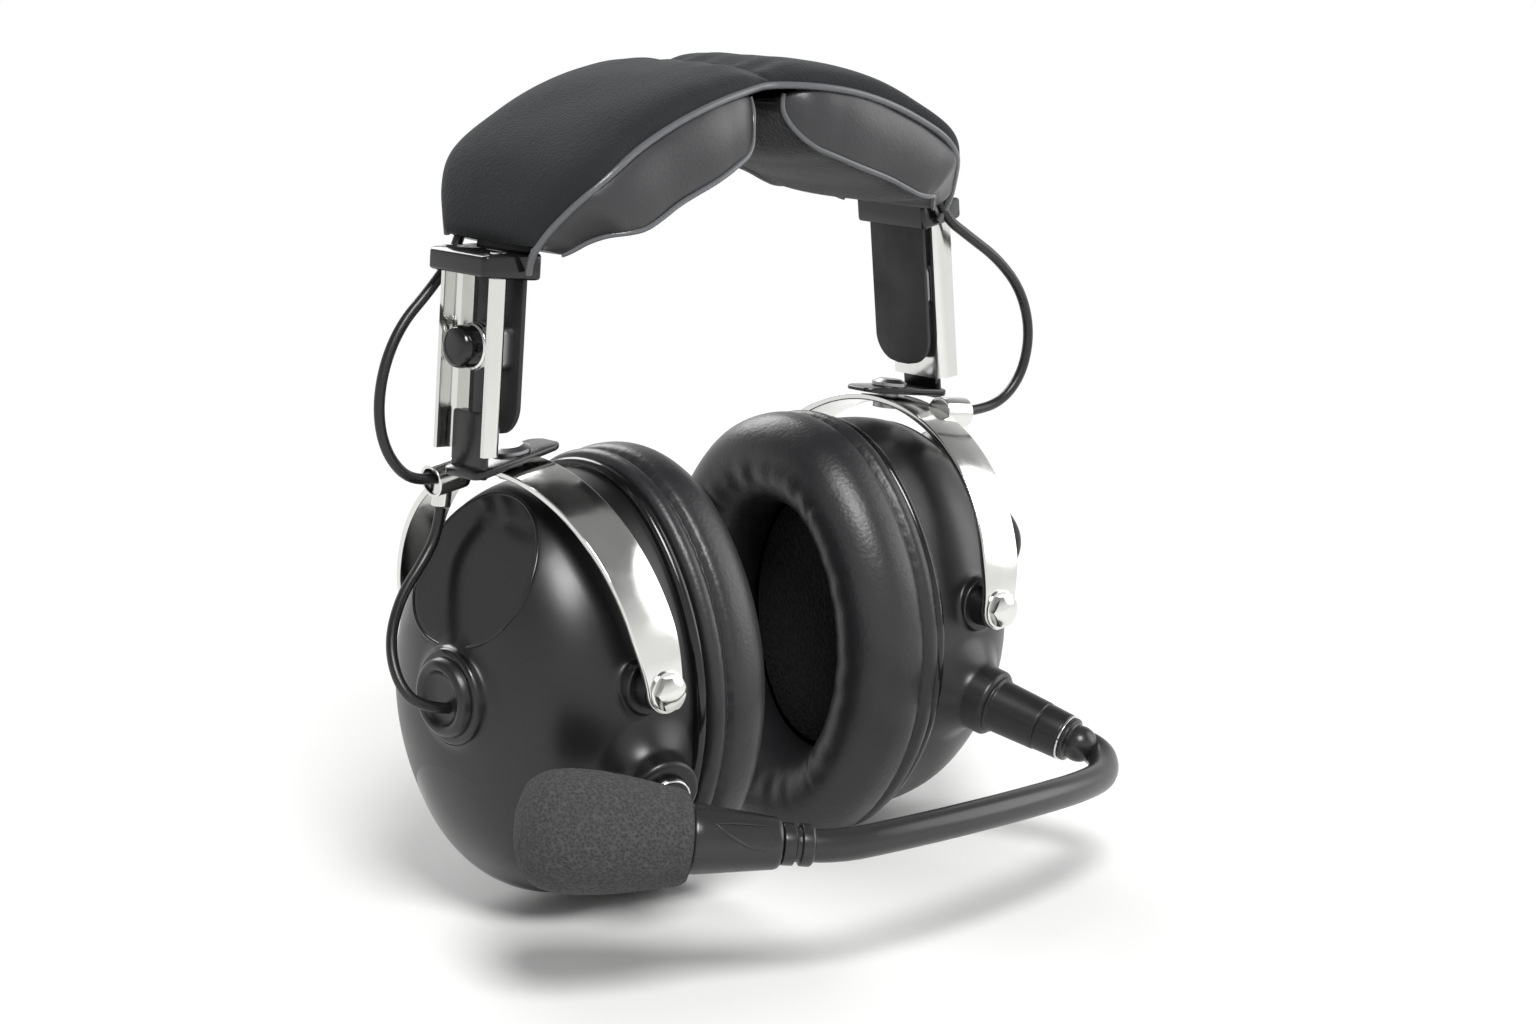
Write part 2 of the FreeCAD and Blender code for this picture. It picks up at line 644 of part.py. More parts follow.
def stirrup():
    """Flat strip bent over the cup, with tongue ends and holes for the screws and the pin."""
    x0 = STIRRUP_X - STIRRUP_WIDTH / 2
    edges = []
    for reach in (LEG_INSIDE, LEG_OUTSIDE):
        front = V(x0, -reach, STIRRUP_ARCH_Z)
        rear = V(x0, reach, STIRRUP_ARCH_Z)
        crown = V(x0, 0, STIRRUP_ARCH_Z + reach)
        slant = reach / math.sqrt(2)
        front_bend = V(x0, -slant, STIRRUP_ARCH_Z + slant)
        rear_bend = V(x0, slant, STIRRUP_ARCH_Z + slant)
        drop = V(0, 0, -STIRRUP_LEG)
        edges.append(Part.LineSegment(front + drop, front).toShape())
        edges.append(Part.Arc(front, front_bend, crown).toShape())
        edges.append(Part.Arc(crown, rear_bend, rear).toShape())
        edges.append(Part.LineSegment(rear, rear + drop).toShape())
    for side in (-1, 1):
        ends = [V(x0, side * reach, PIVOT_Z) for reach in (LEG_INSIDE, LEG_OUTSIDE)]
        edges.append(Part.LineSegment(*ends).toShape())
    outline = Part.Wire(Part.__sortEdges__(edges))
    strip = Part.Face(outline).extrude(V(STIRRUP_WIDTH, 0, 0))
    for side in (-1, 1):
        inner = min(side * LEG_INSIDE, side * LEG_OUTSIDE)
        tongue = rod(V(STIRRUP_X, inner, PIVOT_Z), ALONG_Y, STIRRUP_WIDTH / 2, STIRRUP_THICKNESS)
        above = block(x0, x0 + STIRRUP_WIDTH, inner - 1, inner + STIRRUP_THICKNESS + 1,
                      PIVOT_Z, PIVOT_Z + STIRRUP_WIDTH)
        strip = strip.fuse(tongue.cut(above))
    strip = strip.removeSplitter()
    screw_hole = rod(V(STIRRUP_X, -LEG_OUTSIDE - 1, PIVOT_Z), ALONG_Y,
                     PIVOT_SCREW_RADIUS + PIN_CLEARANCE, 2 * LEG_OUTSIDE + 2)
    pin_hole = rod(V(STIRRUP_X, 0, PIVOT_Z), UP, SWIVEL_PIN_RADIUS + PIN_CLEARANCE, STIRRUP_TOP)
    return lean_out(solid_of(strip.cut(screw_hole).cut(pin_hole)))


def pivot_screws():
    """Two domed hexagon screws, front and rear, that hang the cup in the stirrup."""
    screws = []
    for side in (-1, 1):
        seat = LEG_OUTSIDE + RUNNING_GAP
        way = V(0, side, 0)
        tip = pivot_boss_face() - PIVOT_GRIP
        shank = rod(V(STIRRUP_X, side * tip, PIVOT_Z), way, PIVOT_SCREW_RADIUS, seat - tip)
        corners = [V(STIRRUP_X + PIVOT_HEAD_RADIUS * math.cos(rad(60 * i)), side * seat,
                     PIVOT_Z + PIVOT_HEAD_RADIUS * math.sin(rad(60 * i))) for i in range(7)]
        head = Part.Face(Part.makePolygon(corners)).extrude(way * PIVOT_HEAD_HEIGHT)
        dome = Part.makeSphere(PIVOT_HEAD_RADIUS * 1.15, V(STIRRUP_X, side * (seat - 1), PIVOT_Z))
        screws.append(solid_of(shank.fuse(head.common(dome)).removeSplitter()))
    return Part.makeCompound(screws)


def pivot_boss_face():
    """How far from the middle plane the cup's pivot bosses reach."""
    return SEAL_WIDTH / 2 - CUP_INSET + PIVOT_BOSS_STAND


def pivot_bushes():
    """Black spacers between the cup and the stirrup's legs, on the pivot screws."""
    start = pivot_boss_face()
    length = LEG_INSIDE - RUNNING_GAP - start
    bushes = []
    for side in (-1, 1):
        place = V(STIRRUP_X, side * start, PIVOT_Z)
        way = V(0, side, 0)
        bush = rod(place, way, PIVOT_BUSH_RADIUS, length)
        bushes.append(bush.cut(rod(place, way, PIVOT_SCREW_RADIUS, length)))
    return Part.makeCompound(bushes)


def dome(inset):
    """The cup's egg-shaped dome, cut by the facet's plane, drawn in by inset all round."""
    height = SEAL_HEIGHT / 2 - CUP_INSET
    width = SEAL_WIDTH / 2 - CUP_INSET
    shares = [(0.0, 1.0, 1.0), (0.25, 0.985, 0.98), (0.5, 0.93, 0.925),
              (0.75, 0.80, 0.78), (0.91, 0.61, 0.58), (1.0, 0.36, 0.33)]
    sections = [(CUP_RIM + share * (CUP_DEPTH - inset), tall * height - inset, wide * width - inset)
                for share, tall, wide in shares]
    return facet_trim(oval_loft(sections), inset)


def facet_way():
    """The facet's outward normal."""
    return V(math.cos(rad(FACET_TILT)), 0, math.sin(rad(FACET_TILT)))


def facet_trim(shape, inset):
    """Cuts off what stands outside the facet's plane."""
    cutter = block(0, SEAL_HEIGHT, -SEAL_WIDTH, SEAL_WIDTH, -SEAL_HEIGHT, SEAL_HEIGHT)
    place = V(CUP_RIM + FACET_START, 0, FACET_HEIGHT) - facet_way() * inset
    cutter.Placement = FreeCAD.Placement(place, FreeCAD.Rotation(ALONG_Y, -FACET_TILT)).multiply(
        cutter.Placement)
    return shape.cut(cutter)


def socket_boss():
    """The blended boss for the boom on the cup's front wall."""
    root = SOCKET_BASE - SOCKET_WAY * SOCKET_BOSS_LENGTH
    return rod(root, SOCKET_WAY, SOCKET_BOSS_ROOT_RADIUS, SOCKET_BOSS_LENGTH, SOCKET_BOSS_RADIUS)


def volume_seat():
    """The middle of the volume control on the facet."""
    plane = V(CUP_RIM + FACET_START, 0, FACET_HEIGHT)
    along = V(-math.sin(rad(FACET_TILT)), 0, math.cos(rad(FACET_TILT)))
    rise = (HUB_Z + VOLUME_RISE - FACET_HEIGHT) / along.z
    return plane + along * rise + V(0, VOLUME_Y, 0)


def cup_shell(left):
    """The dome's wall with its hub, pivot bosses and socket boss. The left one is drilled too."""
    body = dome(0.0)
    hub_start = V(CUP_END - HUB_ROOT, HUB_Y, HUB_Z)
    body = body.fuse(rod(hub_start, ALONG_X, HUB_RADIUS, HUB_FACE - hub_start.x))
    body = body.fuse(socket_boss())
    for side in (-1, 1):
        root = pivot_boss_face() - PIVOT_BOSS_LENGTH
        boss = rod(V(STIRRUP_X, side * root, PIVOT_Z), V(0, side, 0), PIVOT_BOSS_RADIUS,
                   PIVOT_BOSS_LENGTH)
        body = body.fuse(boss)
    hollow = dome(CUP_WALL)
    mouth = oval_plate(CUP_RIM - 1, CUP_RIM, SEAL_HEIGHT / 2 - CUP_INSET - CUP_WALL,
                       SEAL_WIDTH / 2 - CUP_INSET - CUP_WALL)
    front = block(0, CUP_RIM, -SEAL_WIDTH, SEAL_WIDTH, -SEAL_HEIGHT, SEAL_HEIGHT)
    body = body.cut(hollow).cut(mouth).cut(front)
    body = body.cut(rod(V(STIRRUP_X, -SEAL_WIDTH, PIVOT_Z), ALONG_Y, PIVOT_SCREW_RADIUS, 2 * SEAL_WIDTH))
    body = body.cut(rod(V(HUB_FACE - HUB_CAP_SINK, HUB_Y, HUB_Z), ALONG_X, HUB_CAP_RADIUS, 10))
    spigot = rod(SOCKET_BASE - SOCKET_WAY * (SPIGOT_LENGTH + 1), SOCKET_WAY,
                 SPIGOT_RADIUS + PIN_CLEARANCE, SPIGOT_LENGTH + 2)
    body = body.cut(spigot)
    if left:
        seat = volume_seat()
        through = 2 * CUP_WALL
        body = body.cut(rod(seat - facet_way() * through, facet_way(),
                            VOLUME_SHAFT_RADIUS + VOLUME_BUSH_WALL, 2 * through))
        body = body.cut(gland_outside())
    return max(body.Solids, key=lambda solid: solid.Volume)


def hub_cap():
    """A dished cap in the hub, with a hole in its dish that the cable's tail goes into."""
    start = HUB_FACE - HUB_CAP_SINK
    profile = [(start, HUB_CAP_RADIUS), (start + HUB_CAP_DEPTH - 1, HUB_CAP_RADIUS),
               (start + HUB_CAP_DEPTH, HUB_CAP_RADIUS - 1)]
    cap = turned(profile, V(0, HUB_Y, HUB_Z), ALONG_X)
    face = start + HUB_CAP_DEPTH
    dish = rod(V(face - HUB_DISH_DEPTH, HUB_Y, HUB_Z), ALONG_X, HUB_DISH_RADIUS - 1.5,
               HUB_DISH_DEPTH, HUB_DISH_RADIUS)
    bottom = tail_end() - V(CABLE_HOLE_MARGIN, 0, 0)
    hole = rod(bottom, ALONG_X, CABLE_RADIUS + CABLE_HOLE_MARGIN, TAIL_SINK + 2 * CABLE_HOLE_MARGIN)
    return cap.cut(dish).cut(hole)


def baffle_plate():
    """The plate between cup and seal, with a rounded bead edge and the speaker's window."""
    plate = oval_plate(SEAL_BACK, CUP_RIM, SEAL_HEIGHT / 2 - BAFFLE_INSET, SEAL_WIDTH / 2 - BAFFLE_INSET)
    plate = plate.makeFillet(BAFFLE_EDGE_ROUND, plate.Edges)
    return plate.cut(rod(V(SEAL_BACK - 1, 0, 0), ALONG_X, SPEAKER_WINDOW, BAFFLE_THICKNESS + 2))


def ear_seal():
    """A puffy ring: drawn in at its seam, full in the middle, rounded over to its crest."""
    height = SEAL_HEIGHT / 2
    width = SEAL_WIDTH / 2
    hole_height = height - SEAL_RING_END
    hole_width = width - SEAL_RING_SIDE
    crest_end = (SEAL_RING_END - SEAL_CREST_END) / 2
    crest_side = (SEAL_RING_SIDE - SEAL_CREST_SIDE) / 2
    outside = [(0.0, 3.0), (0.1, 1.2), (0.3, 0.0), (0.6, 0.9), (0.83, 4.4)]
    inside = [(0.0, 2.0), (0.45, 0.0), (0.8, 2.6)]
    outer = [(SEAL_BACK - share * SEAL_THICKNESS, height - inset, width - inset)
             for share, inset in outside]
    inner = [(SEAL_BACK - share * SEAL_THICKNESS, hole_height + grow, hole_width + grow)
             for share, grow in inside]
    ring = oval_loft(outer + [(HALF_GAP, height - crest_end, width - crest_side)])
    hole = oval_loft(inner + [(HALF_GAP, hole_height + crest_end, hole_width + crest_side)])
    foot = -height + SEAL_FOOT_CUT
    below = block(0, SEAL_BACK + 1, -width, width, foot - 10, foot)
    return solid_of(ring.cut(hole).cut(below))


def speaker():
    """A round speaker against the back of the baffle."""
    profile = [(0, SPEAKER_RADIUS), (2.5, SPEAKER_RADIUS), (2.5, SPEAKER_RADIUS - 4),
               (SPEAKER_DEPTH, SPEAKER_RADIUS - 8)]
    return turned(profile, V(CUP_RIM, 0, 0), ALONG_X)


def speaker_screen():
    """The foam screen in the seal's opening."""
    return oval_plate(SEAL_BACK - SCREEN_THICKNESS, SEAL_BACK, SEAL_HEIGHT / 2 - SEAL_RING_END - SEAT_GAP,
                      SEAL_WIDTH / 2 - SEAL_RING_SIDE - SEAT_GAP)


def acoustic_foam():
    """The absorbing foam behind the speaker."""
    start = CUP_RIM + SPEAKER_DEPTH + SEAT_GAP
    margin = CUP_INSET + CUP_WALL + FOAM_MARGIN
    return oval_plate(start, start + FOAM_THICKNESS, SEAL_HEIGHT / 2 - margin, SEAL_WIDTH / 2 - margin)


def volume_pot():
    """The volume control's can behind the facet, its bush and its base ring outside."""
    seat = volume_seat()
    profile = [
        (-CUP_WALL - VOLUME_POT_DEPTH, VOLUME_POT_RADIUS),
        (-CUP_WALL - SEAT_GAP, VOLUME_POT_RADIUS),
        (-CUP_WALL - SEAT_GAP, VOLUME_SHAFT_RADIUS + VOLUME_BUSH_WALL),
        (0, VOLUME_SHAFT_RADIUS + VOLUME_BUSH_WALL),
        (0, VOLUME_BASE_RADIUS),
        (VOLUME_BASE_HEIGHT - 0.8, VOLUME_BASE_RADIUS),
        (VOLUME_BASE_HEIGHT, VOLUME_BASE_RADIUS - 0.8),
    ]
    pot = turned(profile, seat, facet_way())
    return pot.cut(rod(seat, facet_way(), VOLUME_SHAFT_RADIUS + PIN_CLEARANCE, VOLUME_BASE_HEIGHT + 1))


def volume_knob():
    """The left cup's volume knob: a wide round grip, a raised cap and the shaft in the bush."""
    base = VOLUME_BASE_HEIGHT + RUNNING_GAP
    shoulder = base + VOLUME_KNOB_HEIGHT
    top = shoulder + VOLUME_CAP_HEIGHT
    profile = [
        (RUNNING_GAP, VOLUME_SHAFT_RADIUS),
        (base, VOLUME_SHAFT_RADIUS),
        (base, VOLUME_KNOB_RADIUS - 0.6),
        (base + 0.6, VOLUME_KNOB_RADIUS),
        (shoulder - 1.2, VOLUME_KNOB_RADIUS),
        (shoulder, VOLUME_KNOB_RADIUS - 1.2),
        (shoulder, VOLUME_CAP_RADIUS),
        (top - 0.6, VOLUME_CAP_RADIUS),
        (top, VOLUME_CAP_RADIUS - 0.6),
    ]
    return turned(profile, volume_seat(), facet_way())


def boom_socket():
    """The boom's swivel socket, with a spigot that turns in the cup's boss."""
    profile = [
        (-SPIGOT_LENGTH, SPIGOT_RADIUS),
        (RUNNING_GAP, SPIGOT_RADIUS),
        (RUNNING_GAP, SOCKET_RADIUS + 0.5),
        (RUNNING_GAP + 1.2, SOCKET_RADIUS + 0.5),
        (RUNNING_GAP + 1.6, SOCKET_RADIUS),
        (SOCKET_LENGTH - 1, SOCKET_RADIUS - 0.3),
        (SOCKET_LENGTH, SOCKET_RADIUS - 1),
    ]
    return turned(profile, SOCKET_BASE, SOCKET_WAY)


def boom_collar():
    """A grooved collar with a rounded end, between the socket and the tube."""
    groove = COLLAR_RADIUS - COLLAR_GROOVE
    domed = COLLAR_LENGTH - COLLAR_DOME
    profile = [
        (0, COLLAR_RADIUS), (1.6, COLLAR_RADIUS), (1.6, groove), (2.4, groove),
        (2.4, COLLAR_RADIUS), (domed, COLLAR_RADIUS),
        (domed + 0.6 * COLLAR_DOME, COLLAR_RADIUS - 0.4 * COLLAR_DOME),
        (COLLAR_LENGTH, COLLAR_RADIUS - COLLAR_DOME),
    ]
    return turned(profile, SOCKET_BASE + SOCKET_WAY * SOCKET_LENGTH, SOCKET_WAY)


def tube_path():
    """The boom tube's route: out of the collar, round the front, to the microphone's ring."""
    start = SOCKET_BASE + SOCKET_WAY * (SOCKET_LENGTH + COLLAR_LENGTH)
    last = TUBE_POINTS[-1]
    points = [start, start + SOCKET_WAY * TUBE_FIRST_RUN]
    return points + list(TUBE_POINTS) + [last + MIC_WAY * TUBE_LAST_RUN]


def boom_tube():
    """The flexible tube."""
    return bent_tube(tube_path(), TUBE_RADIUS)


def mic_start():
    """Where the tube meets the coupling ring."""
    return tube_path()[-1]


def mic_coupling_ring():
    """A twin ribbed ring on the tube's end."""
    groove = RING_RADIUS - 0.8
    profile = [
        (0, RING_RADIUS), (2.2, RING_RADIUS), (2.6, groove), (3.6, groove),
        (4.0, RING_RADIUS), (RING_LENGTH, RING_RADIUS),
    ]
    return turned(profile, mic_start(), MIC_WAY)


def mic_holder():
    """The tapered holder that turns on the ring. Its bore carries the capsule."""
    start = RING_LENGTH + RUNNING_GAP
    end = start + HOLDER_LENGTH
    profile = [
        (start, HOLDER_NECK_RADIUS - 0.6), (start + 0.8, HOLDER_NECK_RADIUS),
        (end - 2, HOLDER_RADIUS), (end, HOLDER_RADIUS),
    ]
    holder = turned(profile, mic_start(), MIC_WAY)
    bore = rod(mic_start() + MIC_WAY * (end - 5), MIC_WAY, CAPSULE_RADIUS, 6)
    return holder.cut(bore)


def mic_capsule():
    """The microphone capsule, held in the holder and covered by the muff."""
    start = mic_start() + MIC_WAY * (RING_LENGTH + RUNNING_GAP + HOLDER_LENGTH - 5)
    return rod(start, MIC_WAY, CAPSULE_RADIUS, CAPSULE_LENGTH)


def mic_muff():
    """The foam muff: it swells from its end at the holder to a rounded far end."""
    start = mic_start() + MIC_WAY * (RING_LENGTH + RUNNING_GAP + HOLDER_LENGTH + SEAT_GAP)
    shares = [(0.0, 0.66), (0.03, 0.75), (0.12, 0.82), (0.35, 0.93), (0.6, 1.0), (0.76, 0.98),
              (0.89, 0.85), (0.97, 0.62), (1.0, 0.4)]
    points = [V(share * MUFF_RADIUS, 0, along * MUFF_LENGTH) for along, share in shares]
    curve = Part.BSplineCurve()
    curve.interpolate(points)
    first = V(0, 0, 0)
    last = V(0, 0, MUFF_LENGTH)
    edges = [Part.LineSegment(first, points[0]).toShape(), curve.toShape(),
             Part.LineSegment(points[-1], last).toShape(), Part.LineSegment(last, first).toShape()]
    muff = Part.Face(Part.Wire(edges)).revolve(CENTRE, UP, 360)
    muff.Placement = FreeCAD.Placement(start, FreeCAD.Rotation(UP, MIC_WAY))
    hole = rod(start - MIC_WAY, MIC_WAY, CAPSULE_RADIUS + SEAT_GAP, CAPSULE_LENGTH - 3)
    return muff.cut(hole)


def socket_plug():
    """The blank plug in the socket boss that carries no boom."""
    profile = [
        (-SPIGOT_LENGTH, SPIGOT_RADIUS), (0, SPIGOT_RADIUS), (0, PLUG_RADIUS),
        (PLUG_STAND - 0.8, PLUG_RADIUS), (PLUG_STAND, PLUG_RADIUS - 1.2),
    ]
    return turned(profile, SOCKET_BASE, SOCKET_WAY)


def gland_outside():
    """The gland's outer form, which the cup's wall is cut to fit."""
    neck = rod(GLAND_BASE, GLAND_WAY, GLAND_RADIUS, GLAND_LENGTH)
    collar = rod(GLAND_BASE + GLAND_WAY * GLAND_COLLAR_START, GLAND_WAY, GLAND_COLLAR_RADIUS,
                 GLAND_COLLAR_LENGTH)
    return neck.fuse(collar)


def cable_gland():
    """The main cable's gland: a bore for the cable's jacket, and a smaller one for its leads."""
    mouth = GLAND_BASE + GLAND_WAY * (GLAND_LENGTH - GLAND_BORE_LENGTH)
    body = gland_outside().cut(rod(mouth, GLAND_WAY, GLAND_BORE_RADIUS, GLAND_BORE_LENGTH + 1))
    return body.cut(rod(GLAND_BASE - GLAND_WAY, GLAND_WAY, GLAND_LEAD_RADIUS, GLAND_LENGTH))


def clip_place():
    """The inner end of the cable clip's axis, on the stirrup's outer edge, before it leans."""
    height = STIRRUP_ARCH_Z + math.sqrt(STIRRUP_HALF_SPAN ** 2 - CLIP_Y ** 2)
    return V(STIRRUP_X + STIRRUP_WIDTH / 2, CLIP_Y, height)


def spout_way():
    """The direction of the clip's spout, before the stirrup leans."""
    return V(math.sin(rad(CLIP_SPOUT_TURN)), 0, -math.cos(rad(CLIP_SPOUT_TURN)))


def spout_start():
    """Where the spout's axis meets the barrel's."""
    return clip_place() + V(CLIP_LENGTH - CLIP_OUT_RADIUS, 0, 0)


def cable_clip():
    """A chrome barrel on the stirrup's edge, with a wide mouth and a spout for the cup's tail."""
    place = clip_place()
    barrel = rod(place, ALONG_X, CLIP_OUT_RADIUS, CLIP_LENGTH)
    spout = rod(spout_start(), spout_way(), CLIP_SPOUT_RADIUS, CLIP_OUT_RADIUS + CLIP_SPOUT_LENGTH)
    bore = rod(place + V(CLIP_LENGTH - CLIP_BORE_LENGTH, 0, 0), ALONG_X, CLIP_BORE_RADIUS, CLIP_LENGTH)
    return lean_out(solid_of(barrel.fuse(spout).cut(bore)))


def half_turn(shape):
    """The right side's copy of a piece on the cable's route, which is behind on that side."""
    return shape.copy().rotate(CENTRE, UP, 180)


def half_turn_point(point):
    """Where the half turn takes a point."""
    return V(-point.x, -point.y, point.z)


def loop_end():
    """The left loop's end inside the clip's mouth."""
    return leaned_out_point(clip_place() + V(CLIP_LENGTH - CABLE_IN_CLIP, 0, 0))


def cable_loop_left():
    """The crossover cable's wide loop in front of the left hanger, into the clip's mouth."""
    start, way = crossover_end(1)
    run = [V(73, -14, 92.8), V(82.5, -14.8, 86.5), V(90.5, -15.2, 78), V(94.3, -15, 67.5),
           V(93, -14.3, 57.5), V(87.8, -13.4, 51), V(80, -12.7, 48.6)]
    return bent_tube([start, start + way * LOOP_FIRST_RUN] + run + [loop_end()], CABLE_RADIUS)


def cable_loop_right():
    """The crossover cable's closer loop behind the right hanger, into the clip's mouth."""
    start, way = crossover_end(-1)
    run = [V(-71, 13.9, 91.5), V(-78.5, 14.3, 85), V(-83.5, 14.3, 76.5), V(-85.8, 14, 67),
           V(-85, 13.4, 58.5), V(-81, 12.9, 52), V(-75.8, 12.5, 49.4)]
    end = half_turn_point(loop_end())
    return bent_tube([start, start + way * LOOP_FIRST_RUN] + run + [end], CABLE_RADIUS)


def tail_start():
    """The left tail's start just under the clip's spout, and the next point, in line with it."""
    reach = CLIP_OUT_RADIUS + CLIP_SPOUT_LENGTH + RUNNING_GAP
    first = leaned_out_point(spout_start() + spout_way() * reach)
    second = leaned_out_point(spout_start() + spout_way() * (reach + TAIL_FIRST_RUN))
    return [first, second]


def tail_end():
    """The left tail's end, below the floor of the hub's dish."""
    floor = HUB_FACE - HUB_CAP_SINK + HUB_CAP_DEPTH - HUB_DISH_DEPTH
    return V(floor - TAIL_SINK, HUB_Y + TAIL_OFFSET_Y, HUB_Z + TAIL_OFFSET_Z)


def cable_tail_left():
    """The cable down the left dome in front of the volume knob, into the hub."""
    run = [V(75.5, -13.7, 31), V(83.5, -15, 24.5), V(91, -15, 16), V(94, -11.5, 8), V(90.5, -7.3, 3)]
    return bent_tube(tail_start() + run + [tail_end()], CABLE_RADIUS)


def cable_tail_right():
    """The cable down the right dome, standing a little off it, into the hub."""
    start = [half_turn_point(point) for point in tail_start()]
    end = V(-tail_end().x, tail_end().y, tail_end().z)
    run = [V(-75.5, 12.3, 31), V(-83.5, 10.5, 24.5), V(-91, 5, 16.5), V(-93, -0.5, 8.5),
           V(-90, -4.3, 3.2)]
    return bent_tube(start + run + [end], CABLE_RADIUS)


def main():
    os.makedirs("parts", exist_ok=True)
    save("headband_spring", headband_spring())
    save("head_pad_cover", head_pad_cover())
    save_pair("head_pad", head_pad_cushion())
    save("pad_studs", pad_studs())
    save("crossover_cable", crossover_cable())
    save_pair("slide_keeper", slide_keeper())
    save_pair("slide_block", slide_block())
    save_pair("adjust_knob", adjust_knob())
    save_pair("hanger", hanger())
    save_pair("swivel_bracket", swivel_bracket())
    save_pair("swivel_pin", swivel_pin())
    save_pair("stirrup", stirrup())
    save("cable_clip_left", cable_clip())
    save("cable_clip_right", half_turn(cable_clip()))
    save("cable_loop_left", cable_loop_left())
    save("cable_loop_right", cable_loop_right())
    save("cable_tail_left", cable_tail_left())
    save("cable_tail_right", cable_tail_right())
    save_pair("pivot_screws", pivot_screws())
    save_pair("pivot_bushes", pivot_bushes())
    save("cup_shell_left", cup_shell(True))
    save("cup_shell_right", mirrored(cup_shell(False)))
    save_pair("hub_cap", hub_cap())
    save_pair("baffle_plate", baffle_plate())
    save_pair("ear_seal", ear_seal())
    save_pair("speaker", speaker())
    save_pair("speaker_screen", speaker_screen())
    save_pair("acoustic_foam", acoustic_foam())
    save("volume_pot", volume_pot())
    save("volume_knob", volume_knob())
    save("boom_socket", boom_socket())
    save("boom_collar", boom_collar())
    save("boom_tube", boom_tube())
    save("mic_coupling_ring", mic_coupling_ring())
    save("mic_holder", mic_holder())
    save("mic_capsule", mic_capsule())
    save("mic_muff", mic_muff())
    save("socket_plug", mirrored(socket_plug()))
    save("cable_gland", cable_gland())


main()
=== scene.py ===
"""Aviation headset on a pale floor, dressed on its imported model.

Shapes are worked out in millimetres in the part's frame, where +X is the wearer's left, -Y the front and +Z up, with
the origin at ear level between the two ear seals. Left side pieces are mirrored for the right side.
"""
import math

import bmesh
import bpy
import numpy as np
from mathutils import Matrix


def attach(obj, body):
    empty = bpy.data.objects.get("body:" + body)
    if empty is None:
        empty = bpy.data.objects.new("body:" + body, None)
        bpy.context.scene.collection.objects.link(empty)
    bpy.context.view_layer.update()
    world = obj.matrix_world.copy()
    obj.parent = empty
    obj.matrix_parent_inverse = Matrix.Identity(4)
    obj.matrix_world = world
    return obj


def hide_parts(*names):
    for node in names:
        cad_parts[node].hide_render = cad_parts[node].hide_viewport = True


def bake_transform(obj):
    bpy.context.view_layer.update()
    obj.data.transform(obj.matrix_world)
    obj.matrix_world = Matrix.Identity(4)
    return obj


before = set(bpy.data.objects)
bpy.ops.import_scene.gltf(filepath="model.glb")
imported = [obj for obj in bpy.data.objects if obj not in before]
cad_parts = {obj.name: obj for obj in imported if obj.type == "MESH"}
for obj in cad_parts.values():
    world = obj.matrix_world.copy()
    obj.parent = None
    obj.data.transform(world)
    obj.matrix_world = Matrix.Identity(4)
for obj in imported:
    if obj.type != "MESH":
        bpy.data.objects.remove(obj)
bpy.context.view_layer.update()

# Headband spring. A strip of spring steel, 18 mm wide and 1.2 mm thick, bent to the head and painted matte black.
# It ends in rounded tongues inside the hangers.
MM = 0.001
X_WAY, Y_WAY = np.array([1.0, 0, 0]), np.array([0, 1.0, 0])
CROWN_Z = 131.0
CROWN_RADIUS, SHOULDER_RADIUS = 92.0, 26.0
CROWN_TURN, SIDE_TURN = math.radians(33.0), math.radians(85.0)
SIDE_LENGTH = 36.0
CROWN_LENGTH = CROWN_RADIUS * CROWN_TURN
SHOULDER_LENGTH = SHOULDER_RADIUS * (SIDE_TURN - CROWN_TURN)
BAND_LENGTH = CROWN_LENGTH + SHOULDER_LENGTH + SIDE_LENGTH
BAND_HALF, BAND_THICK_HALF, BAND_EDGE = 9.0, 0.6, 0.35
TONGUE_ROUND = 7.0


def joined(name, grids, body, materials, stands_for=(), sharp=38.0):
    """One mesh from grids of points (rows, columns, 3) in millimetres, where a grid may come with its material's
    number. Neighbouring points make quads, points that coincide are merged, and the faces are turned outwards."""
    points, faces, numbers, first = [], [], [], 0
    for item in grids:
        grid, number = item if isinstance(item, tuple) else (item, 0)
        rows, columns = grid.shape[:2]
        at = first + np.arange(rows * columns).reshape(rows, columns)
        quads = np.stack([at[:-1, :-1], at[:-1, 1:], at[1:, 1:], at[1:, :-1]], axis=-1).reshape(-1, 4)
        points.append(grid.reshape(-1, 3))
        faces.append(quads)
        numbers.append(np.full(len(quads), number))
        first += rows * columns
    mesh = bpy.data.meshes.new(name)
    mesh.from_pydata((np.concatenate(points) * MM).tolist(), [], np.concatenate(faces).tolist())
    for finish in materials:
        mesh.materials.append(finish)
    mesh.polygons.foreach_set("material_index", np.concatenate(numbers))
    work = bmesh.new()
    work.from_mesh(mesh)
    bmesh.ops.remove_doubles(work, verts=work.verts, dist=2e-6)
    bmesh.ops.recalc_face_normals(work, faces=work.faces)
    work.to_mesh(mesh)
    work.free()
    mesh.shade_smooth()
    mesh.set_sharp_from_angle(angle=math.radians(sharp))
    piece = bpy.data.objects.new(name, mesh)
    bpy.context.scene.collection.objects.link(piece)
    if body:
        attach(piece, body)
    if stands_for:
        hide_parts(*stands_for)
    return piece


def hex_colour(text):
    """An sRGB hex value as linear red, green, blue and alpha."""
    value = np.array([int(text[i:i + 2], 16) for i in (1, 3, 5)]) / 255
    linear = np.where(value <= 0.04045, value / 12.92, ((value + 0.055) / 1.055) ** 2.4)
    return (*linear.tolist(), 1.0)


def in_use(source):
    """A socket itself, or a node's first output in use."""
    return source if isinstance(source, bpy.types.NodeSocket) else next(s for s in source.outputs if s.enabled)


